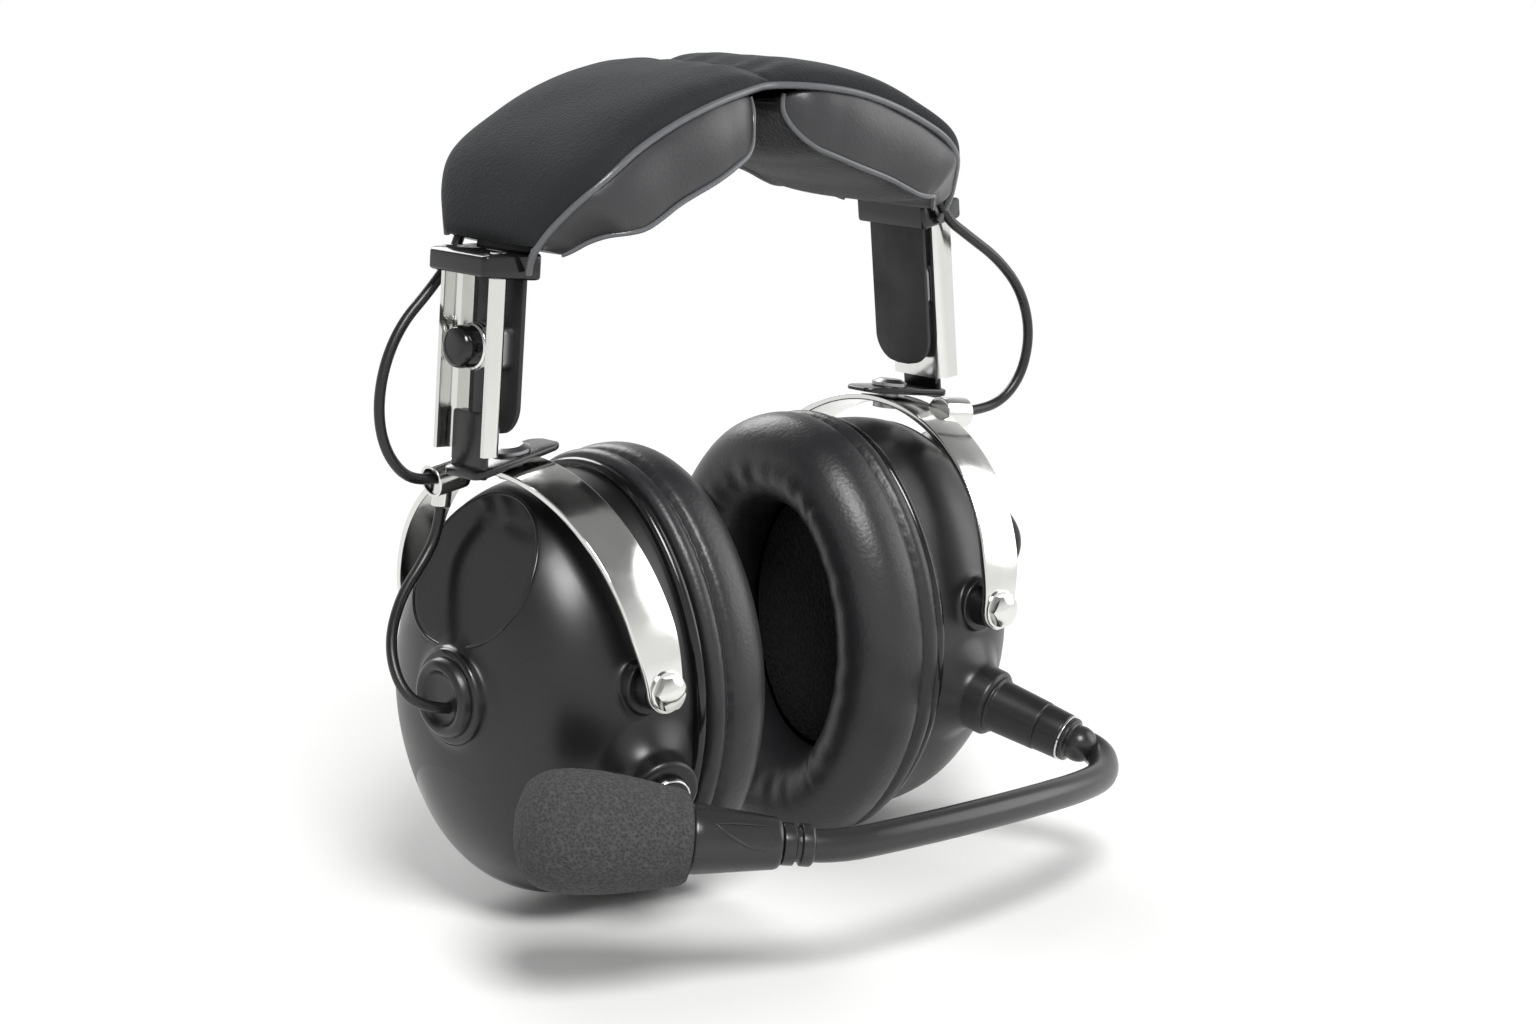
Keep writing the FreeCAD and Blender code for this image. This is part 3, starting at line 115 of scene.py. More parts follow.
def add(tree, kind, *inputs, to=None, **named):
    """Adds a node. Its inputs are numbers, hex colours, sockets or nodes, and names in small letters are its settings.
    Its own first output in use may go to a socket."""
    node = tree.nodes.new(f"ShaderNode{kind}")
    for name in [name for name in named if name.islower()]:
        setattr(node, name, named.pop(name))
    for name, value in [*enumerate(inputs), *named.items()]:
        socket = node.inputs[name if isinstance(name, int) else name.replace("_", " ")]
        if isinstance(value, (bpy.types.Node, bpy.types.NodeSocket)):
            tree.links.new(in_use(value), socket)
        else:
            socket.default_value = hex_colour(value) if isinstance(value, str) else value
    if to is not None:
        tree.links.new(in_use(node), to)
    return node


def material(name, relief=(), marks=None, shades=None, stretch=None, **sockets):
    """A new material with its shader's sockets set and textures on Object coordinates, each a kind and its inputs.
    A row of relief adds the strength and distance of the bump that it lays over the rows before. marks is the texture
    in the roughness, with the range that it maps from and to. shades is the texture between two colours."""
    made = bpy.data.materials.new(name)
    made.use_nodes = True
    tree = made.node_tree
    skin = tree.nodes["Principled BSDF"].inputs
    for socket, value in sockets.items():
        skin[socket.replace("_", " ")].default_value = hex_colour(value) if isinstance(value, str) else value
    place = add(tree, "TexCoord").outputs["Object"]
    if stretch:
        place = add(tree, "Mapping", Vector=place, Scale=stretch)
    below = {}
    for kind, inputs, strength, distance in relief:
        height = add(tree, f"Tex{kind}", Vector=place, **inputs)
        below = {"Normal": add(tree, "Bump", Height=height, Strength=strength, Distance=distance, to=skin["Normal"],
                               **below)}
    if marks:
        kind, inputs, low, high, smooth, rough = marks
        add(tree, "MapRange", Value=add(tree, f"Tex{kind}", Vector=place, **inputs), From_Min=low, From_Max=high,
            To_Min=smooth, To_Max=rough, to=skin["Roughness"])
    if shades:
        kind, inputs, dark, light = shades
        add(tree, "Mix", Factor=add(tree, f"Tex{kind}", Vector=place, **inputs), A=dark, B=light, data_type="RGBA",
            to=skin["Base Color"])
    return made


def stacked(*coordinates):
    """Points from their coordinates, each an array or a single number."""
    return np.stack(np.broadcast_arrays(*coordinates), -1)


def unit(vectors):
    """Vectors along the last axis, brought to length 1."""
    return vectors / np.linalg.norm(vectors, axis=-1, keepdims=True)


def band_at(along):
    """Place and outward direction of the band's middle line, at signed distances from the crown: an arc of 92 mm to 33
    degrees, an arc of 26 mm to 85 degrees, then straight."""
    side = np.where(along < 0, -1.0, 1.0)
    far = np.abs(along)
    a = np.minimum(far, CROWN_LENGTH) / CROWN_RADIUS
    b = a + np.clip(far - CROWN_LENGTH, 0, SHOULDER_LENGTH) / SHOULDER_RADIUS
    straight = np.maximum(far - CROWN_LENGTH - SHOULDER_LENGTH, 0)
    x = CROWN_RADIUS * np.sin(a) + SHOULDER_RADIUS * (np.sin(b) - np.sin(a)) + straight * np.cos(b)
    z = CROWN_Z - CROWN_RADIUS * (1 - np.cos(a)) - SHOULDER_RADIUS * (np.cos(a) - np.cos(b)) - straight * np.sin(b)
    return stacked(side * x, 0, z), stacked(side * np.sin(b), 0, np.cos(b))


def on_band(along, across, height):
    """Points at distances along the band, across it and out from its middle line."""
    base, out = band_at(along)
    while base.ndim <= np.ndim(across):
        base, out = base[:, None], out[:, None]
    return base + out * height[..., None] + Y_WAY * across[..., None]


def rounded(half_a, half_b, cut, steps):
    """Closed rectangles with rounded corners: four quarter circles of radius cut about the corners' own middles."""
    corner = np.repeat(np.arange(4), steps + 1)
    phi = np.radians(90 * corner + np.tile(np.linspace(0, 90, steps + 1), 4))
    a = np.array([1, -1, -1, 1])[corner] * (half_a - cut) + cut * np.cos(phi)
    b = np.array([1, 1, -1, -1])[corner] * (half_b - cut) + cut * np.sin(phi)
    return np.concatenate([a, a[:, :1]], 1), np.concatenate([b, b[:, :1]], 1)


def strip_section(half_width, half_thickness, edge):
    """Across and height of a strip's section, a row for each half width, its edges rounded as far as there is room."""
    width = half_width[:, None]
    thick = np.full_like(width, half_thickness)
    return rounded(width, thick, np.minimum(edge, np.minimum(width, thick) * 0.98), 4)


def end_capped(rows):
    """The rows with their first and last drawn together to a point, which closes the ends."""
    tips = rows[[0, -1]].mean(1, keepdims=True) + np.zeros_like(rows[:1])
    return np.concatenate([tips[:1], rows, tips[1:]])


# Sprayed matte enamel on steel: a dull even black with a fine tooth, rubbed a little shinier in patches.
band_paint = material("matte_black_enamel", [("Noise", dict(Scale=1400, Detail=4), 0.12, 0.0002)],
                      ("Noise", dict(Scale=90, Detail=6), 0.35, 0.7, 0.48, 0.66), Base_Color="#171718", Roughness=0.6)

along = np.concatenate([np.linspace(-BAND_LENGTH, -BAND_LENGTH + 7, 14), np.linspace(-BAND_LENGTH + 8, -1, 90)])
along = np.concatenate([along, -along[::-1]])
to_end = BAND_LENGTH - np.abs(along)
rounding = np.sqrt(np.maximum(TONGUE_ROUND ** 2 - np.maximum(TONGUE_ROUND - to_end, 0) ** 2, 0.001))
section = strip_section(BAND_HALF - TONGUE_ROUND + rounding, BAND_THICK_HALF, BAND_EDGE)
joined("band_spring", [end_capped(on_band(along, *section))], "headband", [band_paint],
       ["headband_spring"])

# Head pad cushions. Two stuffed lobes under the band, each sewn from satin leather front and rear faces and a fleece
# underside. A channel in their top takes the band. They end at the crown with a gap, and thin out over the shoulders.
SIDES = ((1, "left"), (-1, "right"))
PAD_END = CROWN_LENGTH + SHOULDER_RADIUS * math.radians(72.0 - 33.0)
PAD_STATIONS = (4.8, 8.8, 19.3, 38.5, 55.3, 58.4, 62.5, 67.1, 70.7)
PAD_HALF = (20.2, 22.7, 25.0, 25.3, 25.2, 24.7, 21.8, 18.4, 16.4)
PAD_SWELL = (0.6, 1.4, 2.2, 2.5, 2.2, 1.9, 1.5, 1.2, 0.8)
PAD_DEPTH = (4.2, 8.4, 11.9, 12.8, 11.0, 9.4, 6.7, 4.7, 3.4)
PAD_RISE = (1.9, 2.8, 3.45, 3.45, 3.45, 3.45, 3.45, 3.45, 3.45)
PAD_CROWN = (1.0, 1.6, 2.0, 2.0, 1.8, 1.5, 1.2, 0.9, 0.7)
PAD_FLOOR, PAD_LIP = -0.95, 1.3
CROWN_ROUND, FOOT_ROUND = 4.5, 2.5
PAD_PIPING = 0.62
STUFFING_PRESSURE, STUFFING_REACH, STUFFING_FRAMES = 6.0, 1.3, 20
# The points of the cushion's outline at which its top and low seams run, and how many the outline has.
TOP_SEAM, LOW_SEAM, OUTLINE_POINTS = 4, 8, 20
CUT_ROUNDS = 2
CUTS = 2 ** CUT_ROUNDS


def cubic(t, start, leave, end, arrive):
    """The cubic curve from start to end, for t from 0 to 1, with its slopes there."""
    return ((2 * t ** 3 - 3 * t ** 2 + 1) * start + (t ** 3 - 2 * t ** 2 + t) * leave
            + (3 * t ** 2 - 2 * t ** 3) * end + (t ** 3 - t ** 2) * arrive)


def flowing(at, places, values):
    """A smooth line through values at places, read at other places: cubic runs between neighbouring places, whose
    slope at each place is taken from the values on both sides of it."""
    places, values = np.asarray(places, float), np.asarray(values, float)
    slope = np.gradient(values, places)
    k = np.clip(np.searchsorted(places, at) - 1, 0, len(places) - 2)
    run = places[k + 1] - places[k]
    return cubic(np.clip((at - places[k]) / run, 0, 1), values[k], run * slope[k], values[k + 1], run * slope[k + 1])


def closed_smooth(points, rounds=CUT_ROUNDS):
    """Closed lines with their corners cut off, each round at a quarter of both sides. Points run along the second to
    last axis, and the first point comes again at the end."""
    points = np.asarray(points, float)
    for _ in range(rounds):
        ahead = np.roll(points, -1, axis=-2)
        pairs = np.stack([0.75 * points + 0.25 * ahead, 0.25 * points + 0.75 * ahead], -2)
        points = pairs.reshape(*points.shape[:-2], -1, points.shape[-1])
    return np.concatenate([points, points[..., :1, :]], -2)


def line_tube(line, radius, sides=12, reference=(0.0, 1.0, 0.0), closed=False):
    """A round tube along a line of points: each ring stands across the line's direction, turned by a fixed reference
    that the line never runs along. A closed line's last point is its first."""
    if closed:
        way = np.roll(line[:-1], -1, axis=0) - np.roll(line[:-1], 1, axis=0)
        way = np.concatenate([way, way[:1]])
    else:
        way = np.gradient(line, axis=0)
    way = unit(way)
    side = unit(np.cross(way, reference))
    up = np.cross(side, way)
    phi = np.linspace(0, 2 * np.pi, sides + 1)[:, None]
    ring = side[:, None] * np.cos(phi) + up[:, None] * np.sin(phi)
    rings = line[:, None] + ring * np.broadcast_to(radius, len(line))[:, None, None]
    return rings if closed else end_capped(rings)


def smooth_line(points, steps=12):
    """Points on a NURBS spline of order 3 that starts and ends at its end points and has the given points as its
    control points."""
    curve = bpy.data.curves.new("route", "CURVE")
    curve.dimensions = "3D"
    curve.resolution_u = steps
    spline = curve.splines.new("NURBS")
    spline.points.add(len(points) - 1)
    spline.points.foreach_set("co", np.column_stack([np.asarray(points, float), np.ones(len(points))]).ravel())
    spline.order_u = 3
    spline.use_endpoint_u = True
    holder = bpy.data.objects.new("route", curve)
    read = bpy.data.meshes.new_from_object(holder)
    line = np.empty(len(read.vertices) * 3)
    read.vertices.foreach_get("co", line)
    bpy.data.objects.remove(holder)
    bpy.data.meshes.remove(read)
    bpy.data.curves.remove(curve)
    return line.reshape(-1, 3)


def swollen(piece, held, pressure, reach):
    """Cloth with air pressure inside and its held vertices pinned, run for 20 frames and read back. No point moves
    further than reach, in millimetres."""
    mesh = piece.data
    rest = np.empty(len(mesh.vertices) * 3)
    mesh.vertices.foreach_get("co", rest)
    rest = rest.reshape(-1, 3)
    seam = piece.vertex_groups.new(name="seam")
    seam.add(np.flatnonzero(held(rest / MM)).tolist(), 1.0, "REPLACE")
    cloth = piece.modifiers.new("stuffing", "CLOTH")
    cloth.point_cache.frame_start = 1
    cloth.point_cache.frame_end = STUFFING_FRAMES
    cloth.settings.use_pressure = True
    cloth.settings.uniform_pressure_force = pressure
    cloth.settings.vertex_group_mass = "seam"
    cloth.settings.effector_weights.gravity = 0.0
    cloth.settings.quality = 5
    for step in range(1, STUFFING_FRAMES + 1):
        bpy.context.scene.frame_set(step)
    full = piece.evaluated_get(bpy.context.evaluated_depsgraph_get()).data
    swell = np.empty(len(rest) * 3)
    full.vertices.foreach_get("co", swell)
    move = swell.reshape(-1, 3) - rest
    length = np.linalg.norm(move, axis=1, keepdims=True)
    piece.modifiers.remove(cloth)
    piece.vertex_groups.remove(seam)
    bpy.context.scene.frame_set(1)
    mesh.vertices.foreach_set("co", (rest + move * np.minimum(1, reach * MM / np.maximum(length, 1e-9))).ravel())
    mesh.update()


# Smooth satin leather, split and coated: soft broad highlights, a fine grain and faint creases.
creases = dict(Scale=130, Detail=5)
pad_leather = material("smooth_satin_leather", [("Voronoi", dict(Scale=1100), 0.12, 0.0002),
                                                ("Noise", creases, 0.16, 0.0006)],
                       ("Noise", creases, 0, 1, 0.28, 0.44), Base_Color="#2b2b2d", Roughness=0.4)
# Dark polyester fleece: no highlight, short fibres that light up a little at the outline.
fleece = material("dark_fleece", [("Noise", dict(Scale=1100, Detail=6, Roughness=0.7), 0.8, 0.0008)],
                  Base_Color="#101112", Roughness=0.95, Sheen_Weight=0.2, Sheen_Roughness=0.5)
# Satin bias tape round a cord, with the weave's fine ribs along it. Its light grey is a painted highlight, brighter
# than the leather so that each cord reads as a bright line.
piping_painted_highlight = material("satin_piping_painted_highlight", [("Noise", dict(Scale=1300, Detail=2), 0.25, 0.0003)], Base_Color="#56575a",
                        Roughness=0.26)

along = PAD_STATIONS[0] + (PAD_END - PAD_STATIONS[0]) * (0.5 - 0.5 * np.cos(np.linspace(0, np.pi, 84)))
half, swell, depth, rise, crown = (flowing(along, PAD_STATIONS, values)
                                   for values in (PAD_HALF, PAD_SWELL, PAD_DEPTH, PAD_RISE, PAD_CROWN))
end_round = np.sqrt(1 - (1 - np.clip((along - PAD_STATIONS[0]) / CROWN_ROUND, 0, 1)) ** 2)
end_round *= np.sqrt(1 - (1 - np.clip((PAD_END - along) / FOOT_ROUND, 0, 1)) ** 2 * 0.8)
middle = PAD_FLOOR - 0.35 * depth
low = middle + (PAD_FLOOR - depth - middle) * (0.25 + 0.75 * end_round)
rise = PAD_FLOOR + (rise - PAD_FLOOR) * (0.55 + 0.45 * end_round)
half = half - 1.6 * (1 - end_round)
tall = rise - low
centre = np.zeros_like(along)
rear = [(centre, PAD_FLOOR), (0.6 * half, PAD_FLOOR), (half - PAD_LIP, PAD_FLOOR), (half - PAD_LIP, rise),
        (half, rise + 0.1), (half + 0.7 * swell, rise - 0.16 * tall), (half + swell, rise - 0.45 * tall),
        (half + 0.85 * swell, low + 0.2 * tall), (half + 0.3 * swell, low), (0.55 * half, low - 0.85 * crown),
        (centre, low - crown)]
outline = rear + [(-y, z) for y, z in rear[-2:0:-1]]
profile = closed_smooth(np.stack([stacked(y, z) for y, z in outline], 1))
column = np.arange(OUTLINE_POINTS * CUTS)
under = (column >= LOW_SEAM * CUTS) & (column < (OUTLINE_POINTS - LOW_SEAM) * CUTS)


def at_seams(points):
    """True for the cushion's points that its seams, its lips and the band's channel hold. The distance along the band
    is an angle about its arc's centre times the radius, and the height is the distance from that centre less it."""
    x, y, z = np.abs(points[:, 0]), np.abs(points[:, 1]), points[:, 2] - (CROWN_Z - CROWN_RADIUS)
    inward = CROWN_RADIUS - SHOULDER_RADIUS
    shoulder_x, shoulder_z = x - inward * math.sin(CROWN_TURN), z - inward * math.cos(CROWN_TURN)
    turn, shoulder_turn = np.arctan2(x, z), np.arctan2(shoulder_x, shoulder_z)
    on_crown = turn < CROWN_TURN
    far = np.where(on_crown, turn * CROWN_RADIUS, CROWN_LENGTH + (shoulder_turn - CROWN_TURN) * SHOULDER_RADIUS)
    out = np.where(on_crown, np.hypot(x, z) - CROWN_RADIUS, np.hypot(shoulder_x, shoulder_z) - SHOULDER_RADIUS)
    top = out > PAD_FLOOR - 0.3
    low_seam = (np.abs(out - np.interp(far, along, low)) < 1.0) & (y > np.interp(far, along, half) - 1.5)
    ends = (far < PAD_STATIONS[0] + 0.6) | (far > PAD_END - 2.0)
    return top | low_seam | ends


for side, word in SIDES:
    skin = end_capped(on_band(side * along, profile[..., 0], profile[..., 1]))
    pad = joined(f"pad_cushion_{word}", [(skin[:, k:k + 2], int(under[k])) for k in column], "headband",
                 [pad_leather, fleece], [f"head_pad_{word}"], sharp=60)
    swollen(pad, at_seams, STUFFING_PRESSURE, STUFFING_REACH)
    for edge, seam, upper, face in (("rear", LOW_SEAM, TOP_SEAM, 1),
                                    ("front", OUTLINE_POINTS - LOW_SEAM, OUTLINE_POINTS - TOP_SEAM, -1)):
        corner = profile[:, seam * CUTS] + (0.25 * face, -0.1)
        top = profile[:, upper * CUTS]
        route = [(along[k], *corner[k]) for k in (-2, *range(78, 8, -5), 7)]
        route += [(PAD_STATIONS[0] - 0.5, *(0.5 * (corner[5] + top[5]))), (along[4], *top[6])]
        at, across, height = np.array(route).T
        line = smooth_line(on_band(side * at, across, height))
        joined(f"pad_piping_{edge}_{word}", [line_tube(line, PAD_PIPING, 10)], "headband",
               [piping_painted_highlight])

# Head pad cover. A velour wrap over the band and the studs, padded with thin foam. Its front and rear edges are corded
# and sewn to the cushions. A seam pinches it at the crown, which gathers it in short folds.
COVER_STATIONS = (0.0, 3.0, 7.2, 19.3, 41.7, 57.1, 62.5, 67.1, 70.7)
COVER_HALF = (20.4, 21.2, 22.9, 25.2, 25.6, 25.1, 21.7, 18.1, 15.6)
COVER_TOP = (6.6, 7.4, 8.7, 9.7, 9.7, 8.9, 7.8, 7.0, 6.2)
COVER_UNDER, COVER_SEAM = 3.72, 3.7
COVER_PIPING = 0.85

# Cotton velour with a short pile: nearly black, hand marks lie a shade lighter, and the pile catches light at a slant.
brushed = dict(Scale=55, Detail=5, Distortion=0.6)
velour = material("black_velour", [("Noise", dict(Scale=1500, Detail=3), 0.6, 0.0004),
                                   ("Noise", brushed, 0.35, 0.001)],
                  shades=("Noise", brushed, "#0d0f10", "#191b1d"), Roughness=0.95, Sheen_Weight=0.16,
                  Sheen_Roughness=0.4, Sheen_Tint="#9aa1a5")

along = PAD_END * np.sin(np.linspace(-np.pi / 2, np.pi / 2, 150))
along = np.sort(np.concatenate([along, np.linspace(-8, 8, 33)]))
phi = np.linspace(0, np.pi, 73)
wide, top = (flowing(np.abs(along), COVER_STATIONS, values)[:, None] for values in (COVER_HALF, COVER_TOP))
end_round = np.sqrt(np.clip(1 - (1 - np.clip((PAD_END - np.abs(along)) / 2.2, 0, 1)) ** 2, 0, 1))[:, None]
top = COVER_UNDER + (top - COVER_UNDER) * (0.25 + 0.75 * end_round)
across = wide * np.sign(np.cos(phi)) * np.abs(np.cos(phi)) ** 0.55
gather = np.exp(-(along[:, None] / 10.0) ** 2) * 0.38 * np.sin(across * 0.7 + 0.9 * np.sign(along[:, None]))
groove = 0.9 * np.exp(-(along[:, None] / 0.9) ** 2)
soft = 0.14 * np.sin(along[:, None] * 0.21 + 1.0) * np.sin(across * 0.19 + 0.4)
height = COVER_UNDER + (top - COVER_UNDER) * np.sin(phi) ** 0.62 + (gather + soft - groove) * np.sin(phi)
flat = np.linspace(-1, 1, 12) * wide
bottom = on_band(along, flat, np.full_like(flat, COVER_UNDER))
wrap = end_capped(np.concatenate([on_band(along, across, height), bottom[:, 1:]], 1))
cover = joined("pad_cover", [wrap], "headband", [velour], ["head_pad_cover"], sharp=60)
for name, face in (("front", -1), ("rear", 1)):
    at = np.array([-PAD_END, -67.1, -62.5, -58.5, -52, -44, -34, -24, -16, -9, -4.5, -1.5])
    at = np.concatenate([at, -at[::-1]])
    route = on_band(at, face * (flowing(np.abs(at), COVER_STATIONS, COVER_HALF) + 0.15), np.full_like(at, COVER_SEAM))
    if face < 0:
        tail = on_band(np.array([-76.0, -73.5]), np.array([-12.4, -13.6]), np.array([2.2, 3.2]))
        route = np.concatenate([tail, route, tail[::-1] * [-1, 1, 1]])
    joined(f"cover_piping_{name}", [line_tube(smooth_line(route), COVER_PIPING)], "headband",
           [piping_painted_highlight])

# Keepers. Polished moulded sleeves at the pad's low ends, with bevelled outer edges, which the hangers slide through.
KEEPER_IN, KEEPER_OUT, KEEPER_MIDDLE = -2.4, 12.6, 2.0
BEVEL = 3.2
side_start, side_outward = (a[0] for a in band_at(np.array([CROWN_LENGTH + SHOULDER_LENGTH])))
side_axes = np.array([side_outward, Y_WAY, [-side_outward[2], 0.0, side_outward[0]]])


def on_side(points):
    """Points on the band's straight side, from distances out of the band, across it and up from the shoulder's end."""
    return side_start + np.asarray(points) @ side_axes


def both_sides(name, grids, body, materials, stands_for, sharp=38.0):
    """The left piece and its mirror image on the right."""
    made = []
    for side, word in SIDES:
        flip = np.array([side, 1.0, 1.0])
        grids_there = [(grid[0] * flip, grid[1]) if isinstance(grid, tuple) else grid * flip for grid in grids]
        made.append(joined(f"{name}_{word}", grids_there, f"{body}_{word}" if body != "headband" else body,
                           materials, [f"{stands_for}_{word}"], sharp))
    return made


def box_rings(x, y, z, cut, corner_cut):
    """Rings of an upright box, bottom to top, closed at both ends. Its sides are x[0] to x[1] and so on, cut is the
    radius of its top and bottom edges, and corner_cut that of its upright ones."""
    level = np.array([0, 0.3, 1.0])
    drop = cut * (1 - np.sqrt(1 - (1 - level) ** 2))
    heights = np.concatenate([z[0] + cut * level, z[1] - cut * level[::-1]])[:, None]
    inset = np.concatenate([drop, drop[::-1]])[:, None]
    ring_x, ring_y = rounded((x[1] - x[0]) / 2 - inset, (y[1] - y[0]) / 2 - inset, corner_cut, 6)
    return end_capped(stacked((x[0] + x[1]) / 2 + ring_x, (y[0] + y[1]) / 2 + ring_y, heights))


# Polished acetal: near black with sharp small highlights and faint finger smears.
gloss_black = material("polished_black_acetal", marks=("Noise", dict(Scale=110, Detail=6), 0.35, 0.75, 0.1, 0.26),
                       Base_Color="#101011", Roughness=0.16)

sleeve = box_rings((KEEPER_IN, KEEPER_OUT), (-11.5, 11.5), (-1.0, 5.0), cut=0.7, corner_cut=0.9)
bevel = np.clip((sleeve[..., 0] - (KEEPER_OUT - BEVEL)) / BEVEL, 0, 1)
sleeve[..., 1] *= 1 - 0.17 * bevel
sleeve[..., 2] = KEEPER_MIDDLE + (sleeve[..., 2] - KEEPER_MIDDLE) * (1 - 0.3 * bevel)
both_sides("keeper", [on_side(sleeve)], "headband", [gloss_black], "slide_keeper")

# Hangers. Chrome-plated steel channels with outward flanges and a long slot, pressed from 1.2 mm sheet. They slide in
# the keepers and set the headset's height.
WEB_IN, WEB_OUT, FLANGE_END = 3.8, 5.0, 9.3
HANGER_HALF = 9.0
HANGER_UP, HANGER_DOWN = 5.0, -40.0
SHEET_HALF = 0.6
BEND = 2.2
FLAT_HALF = HANGER_HALF - SHEET_HALF - BEND
SLOT_HALF = 2.6
SLOT_LOW, SLOT_HIGH = -35.0 + SLOT_HALF, 0.5

# Bright chrome plate over polished steel: a nearly clean mirror, clouded a little by handling.
chrome = material("bright_chrome_plate", marks=("Noise", dict(Scale=160, Detail=6), 0.35, 0.75, 0.1, 0.24),
                  Base_Color="#dcdcd9", Metallic=1.0, Roughness=0.14)


def bent_sheet(across, up, offset):
    """Points on the channel at distances across its unrolled section, offset from the sheet's middle: a web with two
    flanges that turn outward through a 1.6 mm inside bend."""
    far = np.abs(across)
    angle = np.clip((far - FLAT_HALF) / BEND, 0, np.pi / 2)
    over = np.maximum(far - FLAT_HALF - BEND * np.pi / 2, 0)
    x = (WEB_IN + WEB_OUT) / 2 + BEND * (1 - np.cos(angle)) + over + offset * np.cos(angle)
    y = np.minimum(far, FLAT_HALF) + BEND * np.sin(angle) - offset * np.sin(angle)
    return stacked(x, y * np.where(across < 0, -1, 1), up)


def slotted_sheet(half):
    """Rows from the slot's outline to the sheet's outline: directions from the slot's middle, where the slot is a
    stadium and the sheet a rectangle. Returns across and up."""
    corners = np.array([(half, HANGER_DOWN), (half, HANGER_UP), (-half, HANGER_UP), (-half, HANGER_DOWN),
                        (half, HANGER_DOWN)])
    sides = [np.linspace(*pair) for pair in zip(corners, corners[1:], (60, 40, 60, 40))]
    edge = np.concatenate([sides[0], *(side[1:] for side in sides[1:])])
    foot = stacked(0, np.clip(edge[:, 1], SLOT_LOW, SLOT_HIGH))
    slot = foot + unit(edge - foot) * SLOT_HALF
    t = np.linspace(0, 1, 40)[:, None, None]
    sheet = slot * (1 - t) + edge * t
    return sheet[..., 0], sheet[..., 1]


sheet = slotted_sheet(FLAT_HALF + BEND * np.pi / 2 + (FLANGE_END - WEB_IN - SHEET_HALF - BEND))
inner, outer = bent_sheet(*sheet, -SHEET_HALF), bent_sheet(*sheet, SHEET_HALF)
both_sides("hanger_channel", [on_side(np.concatenate([inner, outer[::-1], inner[:1]]))], "hanger",
           [chrome], "hanger")

# Thumb knobs. Smooth domed black knobs on chrome washers, whose studs clamp the hangers to the band.
KNOB_UP = -16.5


def eased(profile, cut):
    """A profile with each inner corner replaced by a short curve that starts a cut before it."""
    profile = np.asarray(profile, float)
    here, back, ahead = profile[1:-1], profile[:-2], profile[2:]
    ends = []
    for way in (back - here, ahead - here):
        length = np.linalg.norm(way, axis=1, keepdims=True)
        ends.append((here + way / length * np.minimum(cut, 0.45 * length))[:, None])
    t = np.linspace(0, 1, 6)[None, :, None]
    curve = ends[0] * (1 - t) ** 2 + here[:, None] * 2 * t * (1 - t) + ends[1] * t ** 2
    return np.concatenate([profile[:1], curve.reshape(-1, profile.shape[1]), profile[-1:]])


def spokes(way, sides):
    """Unit vectors all round an axis, the first again at the end."""
    across = unit(np.cross(way, [0.0, 0.0, 1.0] if abs(way[2]) < 0.9 else [0.0, 1.0, 0.0]))
    phi = np.linspace(0, 2 * np.pi, sides + 1)[:, None]
    return across * np.cos(phi) + np.cross(way, across) * np.sin(phi)


def revolved(profile, start, way, cut=0.0, sides=96):
    """A surface of revolution: the profile is distance along the axis and radius, with its corners eased by cut."""
    profile = eased(profile, cut) if cut else np.asarray(profile, float)
    way = unit(np.asarray(way, float))
    return end_capped(start + way * profile[:, :1, None] + spokes(way, sides) * profile[:, 1:2, None])


seat = on_side([0.0, 0.0, KNOB_UP])
washer = revolved([(0.9, 2.0), (5.3, 2.0), (5.3, 5.3), (6.3, 5.3), (6.3, 4.0)], seat, side_outward, 0.25)
knob = revolved([(6.3, 3.0), (6.3, 4.7), (10.6, 4.8), (12.0, 4.2), (12.6, 2.8), (12.7, 1.0)], seat, side_outward, 0.7)
rim = revolved([(6.3, 4.9), (6.3, 5.25), (7.1, 5.2), (7.5, 4.7)], seat, side_outward, 0.2)
both_sides("thumb_knob", [washer, rim, (knob, 1)], "knob", [chrome, gloss_black], "adjust_knob")

# Swivel brackets. Black painted steel angles at the hangers' feet: a leg riveted in the channel and a plate over the
# stirrup, with a pin through both. The plate ends in a tapered tongue towards the seal.
PIVOT = np.array([53.0, 0.0, 8.0])
STIRRUP_TOP = 53.8
PLATE_MIDDLE = STIRRUP_TOP + 1.45
lean = math.radians(8.0)
lean_turn = np.array([[math.cos(lean), 0, math.sin(lean)], [0, 1, 0], [-math.sin(lean), 0, math.cos(lean)]])


def leaned(points):
    """Points on the stirrup, which leans out by 8 degrees about the cup's pivots."""
    return PIVOT + (points - PIVOT) @ lean_turn.T


# Gloss enamel on steel: deep black with a faint ripple in its highlights.
gloss_paint = material("gloss_black_enamel", [("Noise", dict(Scale=420, Detail=1), 0.12, 0.0003)],
                       Base_Color="#0f0f10", Roughness=0.2)

leg = box_rings((5.0, 6.9), (-6.0, 6.0), (-45.6, -31.0), cut=0.5, corner_cut=0.9)
plate = box_rings((41.5, 68.0), (-6.5, 6.5), (STIRRUP_TOP + 0.5, STIRRUP_TOP + 2.4), cut=0.45, corner_cut=2.4)
taper = np.clip((49.0 - plate[..., 0]) / 7.5, 0, 1)
plate[..., 1] *= 1 - 0.42 * taper ** 1.3
plate[..., 2] = PLATE_MIDDLE + (plate[..., 2] - PLATE_MIDDLE) * (1 - 0.5 * taper)
both_sides("swivel_plate", [on_side(leg), leaned(plate)], "hanger", [gloss_paint], "swivel_bracket")

